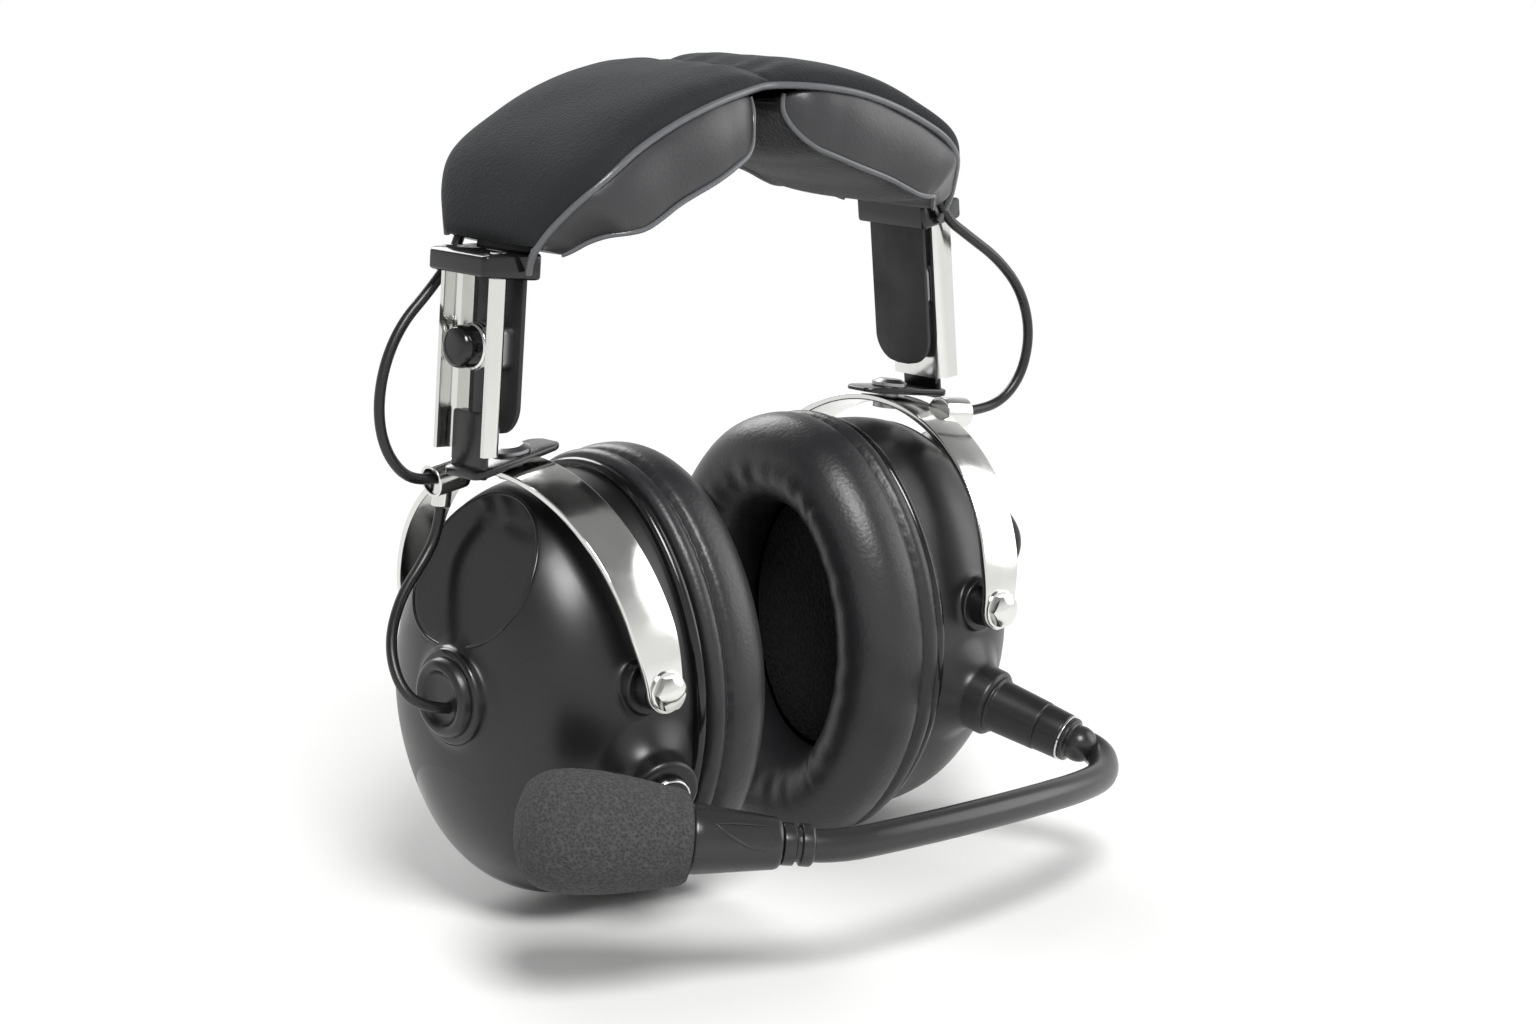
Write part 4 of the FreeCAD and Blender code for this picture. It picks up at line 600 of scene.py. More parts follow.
# Stirrups. Chrome-plated steel strip, 12 mm wide and 1.6 mm thick, bent over each cup in a half circle. Its ends taper
# to round tongues that hang the cup on two screws.
ARCH, ARCH_Z = 43.8, 9.2
TONGUE, STIRRUP_HALF = 5.0, 6.0
quarter = np.pi / 2 * ARCH
leg_drop = ARCH_Z - PIVOT[2] + TONGUE
path = np.concatenate([-quarter - leg_drop + TONGUE * (1 - np.cos(np.linspace(0, np.pi / 2, 14))),
                       np.linspace(-quarter - 0.8, 0, 80)])
path = np.concatenate([path, -path[-2::-1]])
angle = np.clip(path / ARCH, -np.pi / 2, np.pi / 2)
drop = np.maximum(np.abs(path) - quarter, 0)
middle = stacked(PIVOT[0], ARCH * np.sin(angle), ARCH_Z + ARCH * np.cos(angle) - drop)
out = stacked(0, np.sin(angle), np.cos(angle))
from_end = quarter + leg_drop - np.abs(path)
widen = np.clip((from_end - TONGUE) / 14.0, 0, 1)
half_width = TONGUE + (STIRRUP_HALF - TONGUE) * widen ** 2 * (3 - 2 * widen)
round_end = np.sqrt(np.maximum(TONGUE ** 2 - (TONGUE - from_end) ** 2, 0.01))
across, height = strip_section(np.where(from_end < TONGUE, round_end, half_width), half_thickness=0.8, edge=0.4)
rows = middle[:, None] + out[:, None] * height[..., None] + X_WAY * across[..., None]
both_sides("stirrup_strip", [leaned(end_capped(rows))], "stirrup", [chrome], "stirrup")

# Cable clips. Chrome barrels on the stirrups' outer edges, which take the end of the crossover cable's loop, each with
# a spout that its tail leaves by.
CLIP_ACROSS = -12.5
clip_start = np.array([59.0, CLIP_ACROSS, ARCH_Z + math.sqrt(ARCH ** 2 - CLIP_ACROSS ** 2)])
spout_start = clip_start + X_WAY * 4.2
spout_way = np.array([math.sin(math.radians(18)), 0, -math.cos(math.radians(18))])
barrel = revolved([(-0.6, 3.0), (-0.6, 3.8), (8.0, 3.8), (8.0, 3.0), (1.5, 3.0)], clip_start, X_WAY, 0.3, 48)
spout = revolved([(0, 2.2), (6.6, 2.2), (6.8, 1.5), (4.5, 1.5)], spout_start, spout_way, 0.25, 36)
for side, word in SIDES:
    joined(f"clip_{word}", [leaned(grid) * [side, side, 1.0] for grid in (barrel, spout)], f"stirrup_{word}",
           [chrome], [f"cable_clip_{word}"])

# Crossover cable. A thin black lead that runs under the cover from cup to cup. It loops out at each side into the
# clip, and its tails run down the domes into the hubs.
CABLE_RADIUS = 1.25
CABLE_ACROSS, CABLE_OVER = -13.2, 2.15
EXIT_TURN = math.radians(70.0)
HUB_HOLE = np.array([81.9, -5.2, 1.6])
LOOP_SPLIT = 63.0

# Extruded soft vinyl: smooth satin black with a slight waver from the leads inside.
cable_jacket = material("extruded_vinyl_jacket", [("Noise", dict(Scale=500, Detail=2), 0.15, 0.0002)],
                        Base_Color="#141415", Roughness=0.34)


def run_from(start, way, length):
    """Two points: the start, and the point a length on."""
    return [start, start + unit(way) * length]


turns = np.radians(np.concatenate([-np.linspace(70, 1, 12), np.linspace(1, 70, 12)]))
far = np.abs(turns)
reach = CROWN_RADIUS * np.minimum(far, CROWN_TURN) + SHOULDER_RADIUS * np.maximum(far - CROWN_TURN, 0)
sway = CABLE_ACROSS * np.clip(turns / math.radians(30), -1, 1)
hidden = smooth_line(on_band(np.sign(turns) * reach, sway, np.full_like(turns, CABLE_OVER)))
joined("crossover_lead", [line_tube(hidden, CABLE_RADIUS, 14)], "headband", [cable_jacket],
       ["crossover_cable"])

exit_place, exit_out = (a[0] for a in band_at(np.array([CROWN_LENGTH + SHOULDER_RADIUS * (EXIT_TURN - CROWN_TURN)])))
exit_left = exit_place + exit_out * CABLE_OVER + Y_WAY * CABLE_ACROSS
exit_way = np.array([math.cos(EXIT_TURN - 0.05), 0, -math.sin(EXIT_TURN - 0.05)])
loop_end = leaned(clip_start + X_WAY * 5.0)
spout_end = leaned(spout_start + spout_way * 7.1)
tail_way = leaned(clip_start + spout_way) - leaned(clip_start)
left_loop = [(73, -14, 92.8), (82.5, -14.8, 86.5), (90.5, -15.2, 78), (94.3, -15, 67.5), (93, -14.3, 57.5),
             (87.8, -13.4, 51), (80, -12.7, 48.6)]
right_loop = [(-71, 13.9, 91.5), (-78.5, 14.3, 85), (-83.5, 14.3, 76.5), (-85.8, 14, 67), (-85, 13.4, 58.5),
              (-81, 12.9, 52), (-75.8, 12.5, 49.4)]
left_tail = [(75.5, -13.7, 31), (83.5, -15, 24.5), (91, -15, 16), (94, -11.5, 8), (90.5, -7.3, 3)]
right_tail = [(-75.5, 12.3, 31), (-83.5, 10.5, 24.5), (-91, 5, 16.5), (-93, -0.5, 8.5), (-90, -4.3, 3.2)]
# Each loop is two lengths that meet at LOOP_SPLIT with the same ring, and each length is baked in place.
for (side, word), loop_run, tail_run, bend in ((SIDES[0], left_loop, left_tail, (0.0925, 0.074)),
                                               (SIDES[1], right_loop, right_tail, (-0.0845, -0.0715))):
    flip = np.array([side, side, 1.0])
    loop = smooth_line([*run_from(exit_left * flip, exit_way * flip, 6.0), *loop_run, loop_end * flip], 16)
    tail = smooth_line([*run_from(spout_end * flip, tail_way * flip, 5.6), *tail_run, HUB_HOLE * [side, 1, 1]], 16)
    cut = int(np.argmax(loop[:, 2] < LOOP_SPLIT)) + 1
    rings = line_tube(loop, CABLE_RADIUS, 16)
    for name, node, grid, bodies, start, end in (
            ("loop", "loop", end_capped(rings[1:cut + 1]), ("headband", f"hanger_{word}"), (0, 0, 0.104),
             (0, 0, 0.0635)),
            ("loop_foot", "loop", end_capped(rings[cut:-1]), (f"hanger_{word}", f"stirrup_{word}"),
             (bend[0], 0, 0), (bend[1], 0, 0)),
            ("tail", "tail", line_tube(tail, CABLE_RADIUS, 16), (f"stirrup_{word}", f"cup_{word}"), (0, 0, 0.042),
             (0, 0, 0.0016))):
        lead = joined(f"cable_{name}_{word}_lead", [grid], None, [cable_jacket],
                      [f"cable_{node}_{word}"])
        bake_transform(lead)

# Cup shells. Deep moulded domes with a flat slanted facet on the upper outer side, a round hub on the end, bosses for
# the pivot screws, and a socket boss on the front that blends into the wall.
RIM_X, CUP_DEPTH = 39.5, 41.0
CUP_HEIGHT, CUP_WIDTH = 49.0, 38.0
END_SHARE = 0.81
SHARE_POWER, DEPTH_POWER = 2.35, 3.1
FACET = math.radians(30.7)
FACET_POINT = np.array([62.5, 0, 43.5])
BORDER_MIDDLE, BORDER_RADIUS = 32.0, 0.48
HALVINGS = 40
HUB = np.array([0, -4.0, 4.0])
SOCKET = np.array([53.0, -44.0, -15.8])
facet_way = np.array([math.cos(FACET), 0, math.sin(FACET)])
facet_up = np.array([-math.sin(FACET), 0, math.cos(FACET)])
facet_reach = facet_way @ FACET_POINT
socket_way = unit(np.array([0.254, -0.926, -0.272]))


def oval_arcs(half_height, half_width):
    """The radius of an oval's end arcs, how far their centres stand up, and the radius of its side arcs."""
    end = END_SHARE * half_width
    rise = half_height - end
    return end, rise, (rise ** 2 + half_width ** 2 - end ** 2) / (2 * (half_width - end))


def oval(half_height, half_width, theta):
    """Across and up of an oval of four tangent arcs whose end radius is 0.81 of its half width, where its outward
    normal points at theta."""
    end, rise, side = oval_arcs(half_height, half_width)
    shift = side - half_width
    c, s = np.abs(np.cos(theta)), np.abs(np.sin(theta))
    flank = np.arctan2(s, c) < np.arctan2(rise, shift)
    y = np.where(flank, side * c - shift, end * c)
    z = np.where(flank, side * s, rise + end * s)
    return y * np.sign(np.cos(theta)), z * np.sign(np.sin(theta))


def oval_angles(half_height, half_width, count):
    """Normal angles that divide the oval's outline into even steps, from the front round to the front again."""
    theta = np.linspace(0, 2 * np.pi, 4001)
    y, z = oval(half_height, half_width, theta)
    length = np.concatenate([[0], np.cumsum(np.hypot(np.diff(y), np.diff(z)))])
    return np.interp(np.linspace(0, length[-1], count + 1), length, theta)


def oval_share(y, z):
    """The scale at which the cup's oval outline passes through points across and up: on the end arcs, and on the side
    arcs, the positive root of the arc's quadratic."""
    end, rise, side = oval_arcs(CUP_HEIGHT, CUP_WIDTH)
    shift = side - CUP_WIDTH
    way = np.hypot(shift, rise)
    join_y, join_z = shift / way * end, rise + rise / way * end
    y, z = np.abs(y), np.abs(z)
    square = y ** 2 + z ** 2
    end_gap, side_gap = end ** 2 - rise ** 2, side ** 2 - shift ** 2
    by_end = (-z * rise + np.sqrt(np.maximum(z ** 2 * rise ** 2 + end_gap * square, 0))) / end_gap
    by_side = (y * shift + np.sqrt(y ** 2 * shift ** 2 + side_gap * square)) / side_gap
    return np.where(z * join_y > y * join_z, by_end, by_side)


def share_at(depth):
    """The dome's section at a share of its depth, as a share of its rim."""
    return np.maximum(1 - depth ** DEPTH_POWER, 0) ** (1 / SHARE_POWER)


def free_dome_x(y, z):
    """How far out the uncut dome stands: its section shrinks as 1 minus the depth's power."""
    return RIM_X + CUP_DEPTH * (1 - np.clip(oval_share(y, z), 0, 1) ** SHARE_POWER) ** (1 / DEPTH_POWER)


def facet_x(z):
    """How far out the facet's plane stands at heights z."""
    return (facet_reach - facet_way[2] * z) / facet_way[0]


def inside_dome(points):
    """Below zero inside the cup's outer surface."""
    depth = np.clip((points[..., 0] - RIM_X) / CUP_DEPTH, 0, 1)
    wall = oval_share(points[..., 1], points[..., 2]) - share_at(depth)
    return np.maximum(wall, (points @ facet_way - facet_reach) / CUP_WIDTH)


def halved(test, shape, reach):
    """Distances, from 0 to reach, up to which a test holds, by halving."""
    low, high = np.zeros(shape), np.full(shape, float(reach))
    for _ in range(HALVINGS):
        middle = (low + high) / 2
        holds = test(middle)
        low, high = np.where(holds, middle, low), np.where(holds, high, middle)
    return low


def drop_on_dome(points, way, reach):
    """Where lines from points, run back along way, first meet the dome."""
    far = halved(lambda far: inside_dome(points - way * far[..., None]) > 0, points.shape[:-1], reach)
    return points - way * far[..., None]


def blended_boss(tip, way, radius, flare, reach, rise, edge):
    """A round boss that grows out of the dome: rings run from the dome's surface, where they leave it flush, up to the
    boss's wall by a cubic curve, then to its rounded tip."""
    spoke = spokes(way, 96)
    foot = drop_on_dome(tip + spoke * flare, way, reach)
    leave = unit(foot - drop_on_dome(tip + spoke * (flare - 0.6), way, reach))
    wall_foot = drop_on_dome(tip + spoke * radius, way, reach)
    wall = wall_foot + way * np.minimum(rise, ((tip - wall_foot) @ way) * 0.7)[:, None]
    pull = (flare - radius) * 1.15
    curve = cubic(np.linspace(0, 1, 16)[:, None, None], foot, -leave * pull, wall, way * pull * 0.9)
    turn = np.radians(np.linspace(0, 90, 7))[:, None, None]
    rim = tip - way * edge + spoke * (radius - edge + edge * np.cos(turn)) + way * edge * np.sin(turn)
    sink = foot[None] - way * 1.0 - leave[None] * 0.3
    centre = np.broadcast_to((sink.mean(1) - way * 2)[:, None], sink.shape)
    return np.concatenate([centre, sink, curve, rim, np.broadcast_to(tip, rim[-1:].shape)])


share = share_at(1 - (1 - np.linspace(0, 1, 110)) ** 1.35)[:, None]
ring_y, ring_z = oval(CUP_HEIGHT, CUP_WIDTH, oval_angles(CUP_HEIGHT, CUP_WIDTH, 300))
y, z = share * ring_y, share * ring_z
free, plane = free_dome_x(y, z), facet_x(z)
x = np.minimum(free, plane) - np.maximum(0.5 - np.abs(free - plane), 0) ** 2 / 2
x[0] = RIM_X
shell = stacked(x, y, z)
back = X_WAY * RIM_X + np.zeros_like(shell[:1])
dome_grid = np.concatenate([back, shell, shell[-1:].mean(1, keepdims=True) + np.zeros_like(shell[-1:])])

# The facet's raised border: where dome and plane meet, found along rays from a point on the facet.
turn = np.linspace(0, 2 * np.pi, 241)


def cut_off(far):
    """True where the facet's plane cuts the dome, at distances along the rays."""
    y, z = far * np.cos(turn), BORDER_MIDDLE + far * np.sin(turn)
    return (free_dome_x(y, z) > facet_x(z)) & (oval_share(y, z) < 1)


far = halved(cut_off, turn.shape, 45.0)
z = BORDER_MIDDLE + far * np.sin(turn)
border = line_tube(stacked(facet_x(z), far * np.cos(turn), z) - facet_way * 0.22, BORDER_RADIUS, 10, facet_way,
                   closed=True)

# Moulded satin ABS: soft broad highlights from a fine spark-eroded tooth. The facet is polished, so it is darker and
# mirrors more sharply.
cup_plastic = material("moulded_satin_abs", [("Noise", dict(Scale=1500, Detail=3), 0.08, 0.0001)],
                       ("Noise", dict(Scale=60, Detail=7), 0.3, 0.7, 0.3, 0.4), Base_Color="#131314", Roughness=0.34)
tree = cup_plastic.node_tree
rough = tree.nodes["Principled BSDF"].inputs["Roughness"]
outside = add(tree, "VectorMath", tree.nodes["Texture Coordinate"].outputs["Object"], operation="ABSOLUTE")
along_facet = add(tree, "VectorMath", outside, facet_way.tolist(), operation="DOT_PRODUCT")
on_facet = add(tree, "MapRange", Value=along_facet, From_Min=(facet_reach - 0.25) * MM,
               From_Max=(facet_reach - 0.1) * MM)
add(tree, "Mix", Factor=on_facet, A=rough.links[0].from_socket, B=0.2, data_type="FLOAT", to=rough)

hub = blended_boss(HUB + X_WAY * 82.5, X_WAY, radius=11.0, flare=14.2, reach=30.0, rise=1.6, edge=1.2)
socket_boss = blended_boss(SOCKET, socket_way, radius=8.2, flare=14.5, reach=30.0, rise=5.0, edge=1.3)
pivots = [blended_boss(PIVOT + Y_WAY * s * 39.0, Y_WAY * s, radius=6.4, flare=8.6, reach=12.0, rise=0.9, edge=0.5)
          for s in (-1, 1)]
both_sides("cup", [dome_grid, border, hub, socket_boss, *pivots], "cup", [cup_plastic], "cup_shell",
           sharp=50)

# Hub caps. Dished caps pressed into the hubs, with the hole that the crossover cable's tail goes into.
# Moulded satin acetal for small trim: a little shinier than the cups.
moulded = material("moulded_satin_acetal", [("Noise", dict(Scale=1600, Detail=2), 0.08, 0.0001)],
                   ("Noise", dict(Scale=70, Detail=5), 0, 1, 0.27, 0.4), Base_Color="#161617", Roughness=0.34)

cap = revolved([(81.0, 9.2), (82.9, 9.2), (84.3, 8.6), (84.9, 7.6), (84.7, 6.6), (83.4, 5.6), (82.9, 4.6),
                (82.9, 2.0)], HUB, X_WAY, 0.6)
both_sides("hub_dish", [cap], "cup", [moulded], "hub_cap")

# Pivot screws. Chrome hexagon screws with domed heads, front and rear, on thin washers and black spacer bushes.
SEAT = 44.9
HEXAGON = 4.2
phi = np.linspace(0, 2 * np.pi, 73)
share = np.linspace(0, 1, 16)[:, None]
reach = share * (HEXAGON * math.cos(math.pi / 6) / np.cos((phi % (math.pi / 3)) - math.pi / 6))
head = []
for s in (-1, 1):
    top = stacked(PIVOT[0] + reach * np.cos(phi), s * (SEAT + 3.0 - 1.3 * (reach / HEXAGON) ** 2.6),
                  PIVOT[2] + reach * np.sin(phi))
    wall = top[-1:] * [1, 0, 1] + Y_WAY * s * SEAT
    middle = np.broadcast_to(PIVOT + Y_WAY * s * (SEAT - 3), wall.shape)
    head += [np.concatenate([top, wall, middle]),
             revolved([(44.65, 2.1), (44.65, 4.75), (45.15, 4.75), (45.3, 4.2)], PIVOT, Y_WAY * s, 0.12)]
both_sides("pivot_bolts", head, "cup", [chrome], "pivot_screws", sharp=28)

# Baffles. Glossy bead rims between cup and seal.
SEAL_HEIGHT, SEAL_WIDTH = 53.0, 42.0
seal_theta = oval_angles(SEAL_HEIGHT, SEAL_WIDTH, 260)


def oval_ring(profile):
    """A ring carried round the seal's oval: the profile is distance along X and inset from the seal's outline."""
    return np.stack([stacked(x, *oval(SEAL_HEIGHT - inset, SEAL_WIDTH - inset * 21 / 22, seal_theta))
                     for x, inset in profile])


bead = [(38.0 - 1.5 * math.sin(t), 3.3 - 1.4 * math.cos(t)) for t in np.radians(np.linspace(90, -90, 13))]
ring = oval_ring([(36.5, 22.0), *bead, (39.5, 22.0), (36.5, 22.0)])
both_sides("baffle_rim", [ring], "cup", [gloss_black], "baffle_plate", sharp=50)

# Ear seals. Puffy rings of leatherette over foam, sewn to a flange at the back, with fine grain and soft puckers.
SEAL_FOOT = -52.5
# Embossed vinyl leatherette: satin, with a shallow pebble grain and soft creases where the foam bends it.
pores = dict(Scale=120, Detail=5, Roughness=0.6)
seal_leather = material("embossed_leatherette", [("Voronoi", dict(Scale=950), 0.2, 0.0002),
                                                 ("Noise", pores, 0.22, 0.0008)],
                        ("Noise", pores, 0, 1, 0.3, 0.47), Base_Color="#1f1f21", Roughness=0.42)

seal_profile = closed_smooth([(36.5, 3.4), (36.1, 1.6), (34.8, 0.5), (33.0, 0.5), (31.7, 1.7), (31.3, 2.2), (30.9, 1.6),
                              (29.6, 0.2), (26.5, -0.1), (22.5, 0.5), (18.9, 2.8), (16.3, 5.9), (15.0, 9.2),
                              (15.0, 12.6), (16.3, 16.2), (19.2, 19.6), (23.5, 21.6), (28.0, 22.1), (32.5, 21.4),
                              (36.4, 20.2), (36.5, 12.0)], 3)
rows = oval_ring(seal_profile)
around = np.linspace(0, 2 * np.pi, len(seal_theta))
face = np.exp(-((seal_profile[:, 1] - 15.0) / 5.0) ** 2)[:, None]
pucker = 0.2 * np.sin(31 * around + 1.3 * np.sin(3 * around)) * np.sin(5 * around + 0.7) * face
seam = np.exp(-((seal_profile[:, 0] - 31.3) / 1.6) ** 2)[:, None] * (seal_profile[:, 1] < 5)[:, None]
rows[..., 0] += pucker + 0.13 * np.sin(74 * around) * seam
rows[..., 2] = np.maximum(rows[..., 2], SEAL_FOOT)
for seal in both_sides("seal", [rows], "cup", [seal_leather], "ear_seal", sharp=60):
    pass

# Speaker screens. Dark open foam sheets in the seals' openings, domed a little by the speaker behind.
# Reticulated polyurethane foam: matte, with pits about a millimetre apart that are painted darker, as painted shade.
SCREEN_FRONT, SCREEN_BACK, SCREEN_HEIGHT, SCREEN_WIDTH = 34.0, 36.5, 30.9, 20.9
cells = dict(Scale=1000)
screen_foam = material("open_cell_foam", [("Voronoi", cells, 0.7, 0.0006)],
                       shades=("Voronoi", cells, "#070707", "#1d1d1e"), Roughness=1.0)


def foam_sheet(front, back, half_height, half_width):
    """A closed foam slab between two faces, given as functions of across, up and the share of the way out to its oval
    edge."""
    edge_y, edge_z = oval(half_height, half_width, seal_theta)
    steps = np.linspace(0, 1, 40)[:, None]
    return np.concatenate([stacked(face(s * edge_y, s * edge_z, s), s * edge_y, s * edge_z)
                           for face, s in ((front, steps), (back, steps[::-1]))])


screen = foam_sheet(lambda y, z, s: SCREEN_FRONT + 0.9 * s ** 6, lambda y, z, s: SCREEN_BACK, SCREEN_HEIGHT,
                    SCREEN_WIDTH)
for piece in both_sides("screen", [screen], "cup", [screen_foam], "speaker_screen", sharp=60):
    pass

# Acoustic foams. Thick absorbing slabs behind the speakers, with an egg-box face towards the dome.
SLAB_FRONT, SLAB_BACK, SLAB_HEIGHT, SLAB_WIDTH = 46.75, 57.7, 42.8, 31.8
EGG_WAVE = 0.55


def egg_box(y, z, s):
    """How far out the slab's back stands: waves both ways that die out towards its edge."""
    wave = 1.6 + 1.4 * np.sin(y * EGG_WAVE) * np.sin(z * EGG_WAVE)
    return SLAB_BACK - wave * (1 - s ** 8) - 1.5 * s ** 8


slab = foam_sheet(lambda y, z, s: SLAB_FRONT + 0.8 * s ** 8, egg_box, SLAB_HEIGHT, SLAB_WIDTH)
for piece in both_sides("egg_box_foam", [slab], "cup", [screen_foam], "acoustic_foam", sharp=60):
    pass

# Volume control. A base ring on the left cup's facet, and a wide smooth knob with a raised cap.
VOLUME_Y, VOLUME_Z = -2.0, 30.0
volume_seat = FACET_POINT + Y_WAY * VOLUME_Y + facet_up * ((VOLUME_Z - FACET_POINT[2]) / facet_up[2])
base_ring = revolved([(-0.5, 8.2), (2.4, 8.2), (3.2, 7.6), (3.4, 7.2), (3.4, 3.1)], volume_seat, facet_way, 0.4)
joined("volume_base", [base_ring], "cup_left", [moulded], ["volume_pot"])
volume = revolved([(3.7, 3.0), (3.7, 8.6), (4.4, 9.2), (9.0, 9.15), (10.1, 8.5), (10.3, 7.4), (10.2, 5.0), (10.4, 4.6),
                   (12.0, 4.5), (12.45, 3.9), (12.5, 3.0)], volume_seat, facet_way, 0.45)
joined("volume_dial", [volume], "volume_control", [moulded], ["volume_knob"])

# Boom. A smooth swivel barrel in the socket boss, a thin bright ring, a collar that holds a ball, a rubber-covered
# flexible tube that leaves behind the ball, and a twin ribbed ring.
BALL_AT, BALL_RADIUS = 23.1, 4.4
BOOM_RADIUS = 3.6
BOOM_END = (-41, -85.6, -20.2)
socket = revolved([(-0.4, 5.2), (-0.2, 7.1), (0.45, 7.1), (0.8, 6.45), (12.8, 6.05), (13.0, 5.75), (13.2, 5.75),
                   (13.4, 5.85), (19.2, 5.65), (19.45, 5.3), (19.5, 4.2)], SOCKET, socket_way, 0.2)
joined("socket_barrel", [socket], "boom", [cup_plastic], ["boom_socket"])

# Moulded grey-black polyamide of the boom's collar, ring and microphone: satin, with a clear highlight along the top.
polyamide = material("moulded_satin_polyamide", [("Noise", dict(Scale=1500, Detail=2), 0.08, 0.0001)],
                     ("Noise", dict(Scale=130, Detail=5), 0, 1, 0.2, 0.34), Base_Color="#232324", Roughness=0.27)

ball_turn = np.radians(np.linspace(75, 176, 20))
ball = stacked(BALL_AT - BALL_RADIUS * np.cos(ball_turn), BALL_RADIUS * np.sin(ball_turn))
mouth = eased([(20.0, 4.2), (20.1, 5.35), (21.0, 5.35), (21.3, 4.5), (21.6, 4.2)], 0.2)
collar = revolved(np.concatenate([mouth, ball]), SOCKET, socket_way)
bright = revolved([(19.4, 5.2), (19.48, 5.72), (19.95, 5.72), (20.05, 5.1)], SOCKET, socket_way, 0.1)
joined("collar", [collar, (bright, 1)], "boom", [polyamide, chrome], ["boom_collar"])

# Thin rubber sleeve shrunk over a wound gooseneck: one long soft highlight, slightly uneven.
waves = dict(Scale=220, Detail=4)
boom_rubber = material("shrunk_rubber_sleeve", [("Noise", waves, 0.06, 0.0002)], ("Noise", waves, 0, 1, 0.25, 0.32),
                       Base_Color="#232324", Roughness=0.3)

mic_way = unit(np.array([-0.837, 0.52, 0.124]))
mic_start = BOOM_END + mic_way * 6.0
boom_line = smooth_line([(59.2, -61.9, -21.8), (65, -66.3, -24.2), (56.6, -76.2, -26.4), (43, -82, -25.2),
                         (22, -87, -22.8), (-4, -89.4, -21), (-27, -88.3, -20.2), BOOM_END, mic_start], 24)
joined("boom_sleeve", [line_tube(boom_line, BOOM_RADIUS, 40, (0, 0, 1.0))], "boom", [boom_rubber],
       ["boom_tube"])
ring = revolved([(-0.6, 3.7), (-0.4, 4.2), (0.1, 4.6), (2.2, 4.6), (2.5, 3.8), (3.5, 3.8), (3.8, 4.6), (6.3, 4.6),
                 (6.5, 4.1)], mic_start, mic_way, 0.22)
joined("coupling_ring", [ring], "boom", [polyamide], ["mic_coupling_ring"])

# Microphone. A tapered moulded holder that turns on the ring, with a leaf-shaped crease on its front, and a charcoal
# foam muff over the capsule.
TAPER_START, TAPER_LENGTH = 7.6, 17.2
HOLDER_RADIUS, HOLDER_FLARE = 5.6, 2.0
CREASE_RADIUS = 0.42
MUFF_LOW, MUFF_LENGTH, MUFF_RADIUS, MUFF_NAP = 27.05, 36.0, 13.1, 0.05
MUFF_AT = (0.0, 0.03, 0.12, 0.35, 0.6, 0.76, 0.89, 0.965, 1.0)
MUFF_SHARE = (0.72, 0.77, 0.82, 0.93, 1.0, 0.985, 0.87, 0.66, 0.38)
holder = revolved([(6.8, 3.6), (6.8, 5.1), (7.6, 5.6), (24.8, 7.6), (26.2, 7.6), (26.8, 7.2), (26.8, 5.2)], mic_start,
                  mic_way, 0.5)
facing = np.array([-0.475, -0.828, 0.297])
facing = unit(facing - (facing @ mic_way) * mic_way)
upward = np.cross(mic_way, facing)
upward *= np.sign(upward[2])
crease = []
for rows in (((22.0, 27), (20.0, 31), (17.0, 34), (13.0, 36), (9.0, 36)),
             ((22.0, 27), (20.5, 17), (18.0, 3), (14.5, -11), (11.0, -19))):
    at, lift = np.array(rows, float).T[..., None]
    lift = np.radians(lift)
    spoke = facing * np.cos(lift) + upward * np.sin(lift)
    radius = HOLDER_RADIUS + HOLDER_FLARE * np.clip((at - TAPER_START) / TAPER_LENGTH, 0, 1)
    line = smooth_line(mic_start + mic_way * at + spoke * radius)
    thickness = CREASE_RADIUS * np.sin(np.linspace(0.25, np.pi - 0.25, len(line)))
    crease.append(line_tube(line, thickness, 10, (0, 0, 1.0)))
joined("mic_barrel", [holder, *crease], "microphone", [polyamide], ["mic_holder"])

# Fine polyurethane windscreen foam: charcoal, matte, with cells under half a millimetre. They are drawn at 0.7 mm.
# The pits of the cells are painted darker than their rims: painted shade.
cells = dict(Scale=1500)
muff_foam = material("charcoal_windscreen_foam", [("Voronoi", cells, 0.7, 0.0004),
                                                  ("Noise", dict(Scale=420, Detail=5), 0.4, 0.0006)],
                     shades=("Voronoi", cells, "#282829", "#4a4a4b"), Roughness=1.0)

at = 0.5 - 0.5 * np.cos(np.linspace(0, np.pi, 120))
side_face = stacked(MUFF_LOW + MUFF_LENGTH * at, MUFF_RADIUS * flowing(at, MUFF_AT, MUFF_SHARE))
face_in = stacked(MUFF_LOW, np.linspace(5.2, 9.2, 6))
face_out = stacked(MUFF_LOW + MUFF_LENGTH + 0.35 * np.sin(np.linspace(0.2, 1.5, 6)), np.linspace(4.6, 0.4, 6))
muff = revolved(np.concatenate([face_in, side_face, face_out]), mic_start, mic_way, sides=180)
noise = np.random.default_rng(7).normal(0, 1, muff.shape[:2])
noise[:, -1] = noise[:, 0]
spoke = muff - mic_start - ((muff - mic_start) @ mic_way)[..., None] * mic_way
length = np.linalg.norm(spoke, axis=-1, keepdims=True)
muff = muff + spoke / np.maximum(length, 1e-6) * MUFF_NAP * noise[..., None] * (length > 1)
piece = joined("foam_muff", [muff], "microphone", [muff_foam], ["mic_muff"], sharp=80)

# Blank plug. It closes the right cup's socket boss, with a thin bright retaining ring.
plug = revolved([(-1.0, 3.9), (0, 5.2), (1.4, 5.2), (2.2, 4.4), (2.1, 2.6)], SOCKET, socket_way, 0.4)
clip_ring = line_tube(SOCKET + socket_way * 1.9 + spokes(socket_way, 72) * 4.75, 0.26, 10, socket_way, closed=True)
joined("blank_plug", [plug * [-1, 1, 1], (clip_ring * [-1, 1, 1], 1)], "cup_right",
       [gloss_black, chrome], ["socket_plug"])

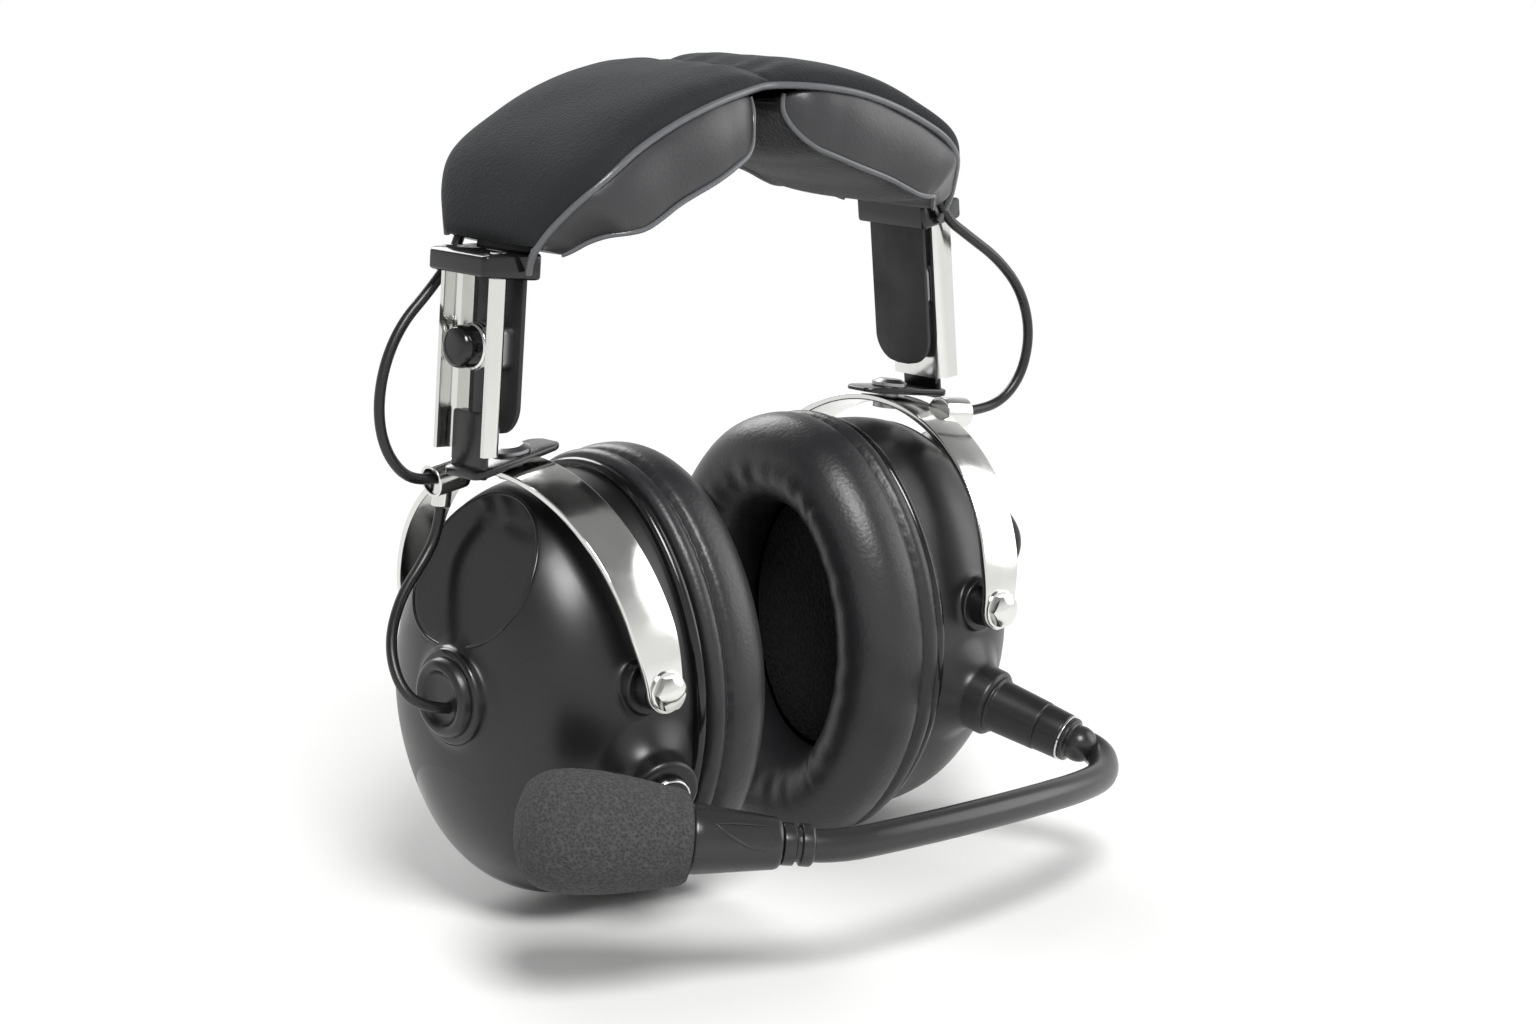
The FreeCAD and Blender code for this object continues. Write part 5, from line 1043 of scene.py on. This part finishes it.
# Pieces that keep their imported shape: studs, pins, bushes, clamp blocks, speakers, the capsule and the cable gland.
# Turned brass, lacquered: warm and satin, with fine turning marks.
stud_brass = material("lacquered_brass", [("Noise", dict(Scale=700, Detail=3), 0.15, 0.0001)], Base_Color="#b08d57",
                      Metallic=1.0, Roughness=0.3)
# Brushed zinc-plated steel: grey, with a stretched grain in its highlights.
brushed_steel = material("brushed_zinc_steel", [("Noise", dict(Scale=1, Detail=4), 0.2, 0.0001)],
                         stretch=(200.0, 200.0, 2400.0), Base_Color="#9a9a9c", Metallic=1.0, Roughness=0.32)
finishes = {"pad_studs": stud_brass, "mic_capsule": brushed_steel, "cable_gland": moulded}
for side, word in SIDES:
    finishes.update({f"slide_block_{word}": brushed_steel, f"swivel_pin_{word}": brushed_steel,
                     f"pivot_bushes_{word}": moulded, f"speaker_{word}": brushed_steel})
for node, finish in finishes.items():
    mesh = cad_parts[node].data
    mesh.materials.clear()
    mesh.materials.append(finish)

# Studio: a pale floor that fades into a white backdrop, soft lamps and the camera, all placed in metres.
FLOOR = SEAL_FOOT * MM
FLOOR_HALF = 6


def seen_straight(tree):
    """1 for rays that come from the camera, off gloss or through glass, and 0 for those that light the object."""
    rays = add(tree, "LightPath").outputs
    either = add(tree, "Math", rays["Is Camera Ray"], rays["Is Glossy Ray"], operation="MAXIMUM")
    return add(tree, "Math", either, rays["Is Transmission Ray"], operation="MAXIMUM")


floor_mesh = bpy.data.meshes.new("floor")
floor_mesh.from_pydata([(x * FLOOR_HALF, y * FLOOR_HALF, FLOOR) for x, y in ((-1, -1), (1, -1), (1, 1), (-1, 1))], [],
                       [(0, 1, 2, 3)])
studio_floor = bpy.data.objects.new("floor", floor_mesh)
bpy.context.scene.collection.objects.link(studio_floor)
floor_paint = material("pale_floor", Base_Color="#e6e6e5", Roughness=0.8, Specular_IOR_Level=0.2)
tree = floor_paint.node_tree
flat = add(tree, "VectorMath", tree.nodes["Texture Coordinate"].outputs["Object"], (1.0, 1.0, 0.0),
           operation="MULTIPLY")
away = add(tree, "VectorMath", flat, operation="LENGTH")
fade = add(tree, "MapRange", Value=away, From_Min=0.22, From_Max=0.75, interpolation_type="SMOOTHSTEP")
white = add(tree, "Math", seen_straight(tree), fade, operation="MULTIPLY")
glow = add(tree, "Emission", Color="#ffffff", Strength=1.0)
add(tree, "MixShader", white, tree.nodes["Principled BSDF"], glow, to=tree.nodes["Material Output"].inputs["Surface"])
floor_mesh.materials.append(floor_paint)

world = bpy.data.worlds.new("studio")
bpy.context.scene.world = world
world.use_nodes = True
tree = world.node_tree
lit = tree.nodes["Background"]
lit.inputs["Color"].default_value = hex_colour("#f4f4f4")
lit.inputs["Strength"].default_value = 0.5
height_of = add(tree, "SeparateXYZ", add(tree, "TexCoord").outputs["Generated"])
ceiling = add(tree, "MapRange", Value=height_of.outputs["Z"], From_Min=0.05, From_Max=0.75, To_Min=1.0, To_Max=0.28,
              interpolation_type="SMOOTHSTEP")
seen = add(tree, "Background", Color="#ffffff", Strength=ceiling)
add(tree, "MixShader", seen_straight(tree), lit, seen, to=tree.nodes["World Output"].inputs["Surface"])


def aim(thing, target):
    """Turns a lamp or camera so that it looks at a point."""
    way = np.array(target) - np.array(thing.location)
    flat = math.hypot(way[0], way[1])
    thing.rotation_euler = (math.atan2(flat, -way[2]), 0, math.atan2(way[1], way[0]) - math.pi / 2)


for name, spot, size, power in (("key", (-0.4, -0.7, 0.95), 0.5, 14.0), ("fill", (0.95, -0.6, 0.5), 1.0, 6.0),
                                ("rim", (0.3, 0.95, 0.75), 0.7, 8.0)):
    lamp_data = bpy.data.lights.new(name, "AREA")
    lamp_data.shape = "DISK"
    lamp_data.size = size
    lamp_data.energy = power
    lamp = bpy.data.objects.new(name, lamp_data)
    lamp.location = spot
    aim(lamp, (0, 0, 0.03))
    bpy.context.scene.collection.objects.link(lamp)

camera_data = bpy.data.cameras.new("camera")
camera_data.sensor_width = 36.0
camera_data.lens = 77.0
camera_data.clip_start = 0.02
camera = bpy.data.objects.new("camera", camera_data)
camera.location = (-0.5078, -0.5643, 0.2036)
aim(camera, (0.0, -0.02, 0.036))
bpy.context.scene.collection.objects.link(camera)
bpy.context.scene.camera = camera
bpy.context.scene.view_settings.view_transform = "Standard"
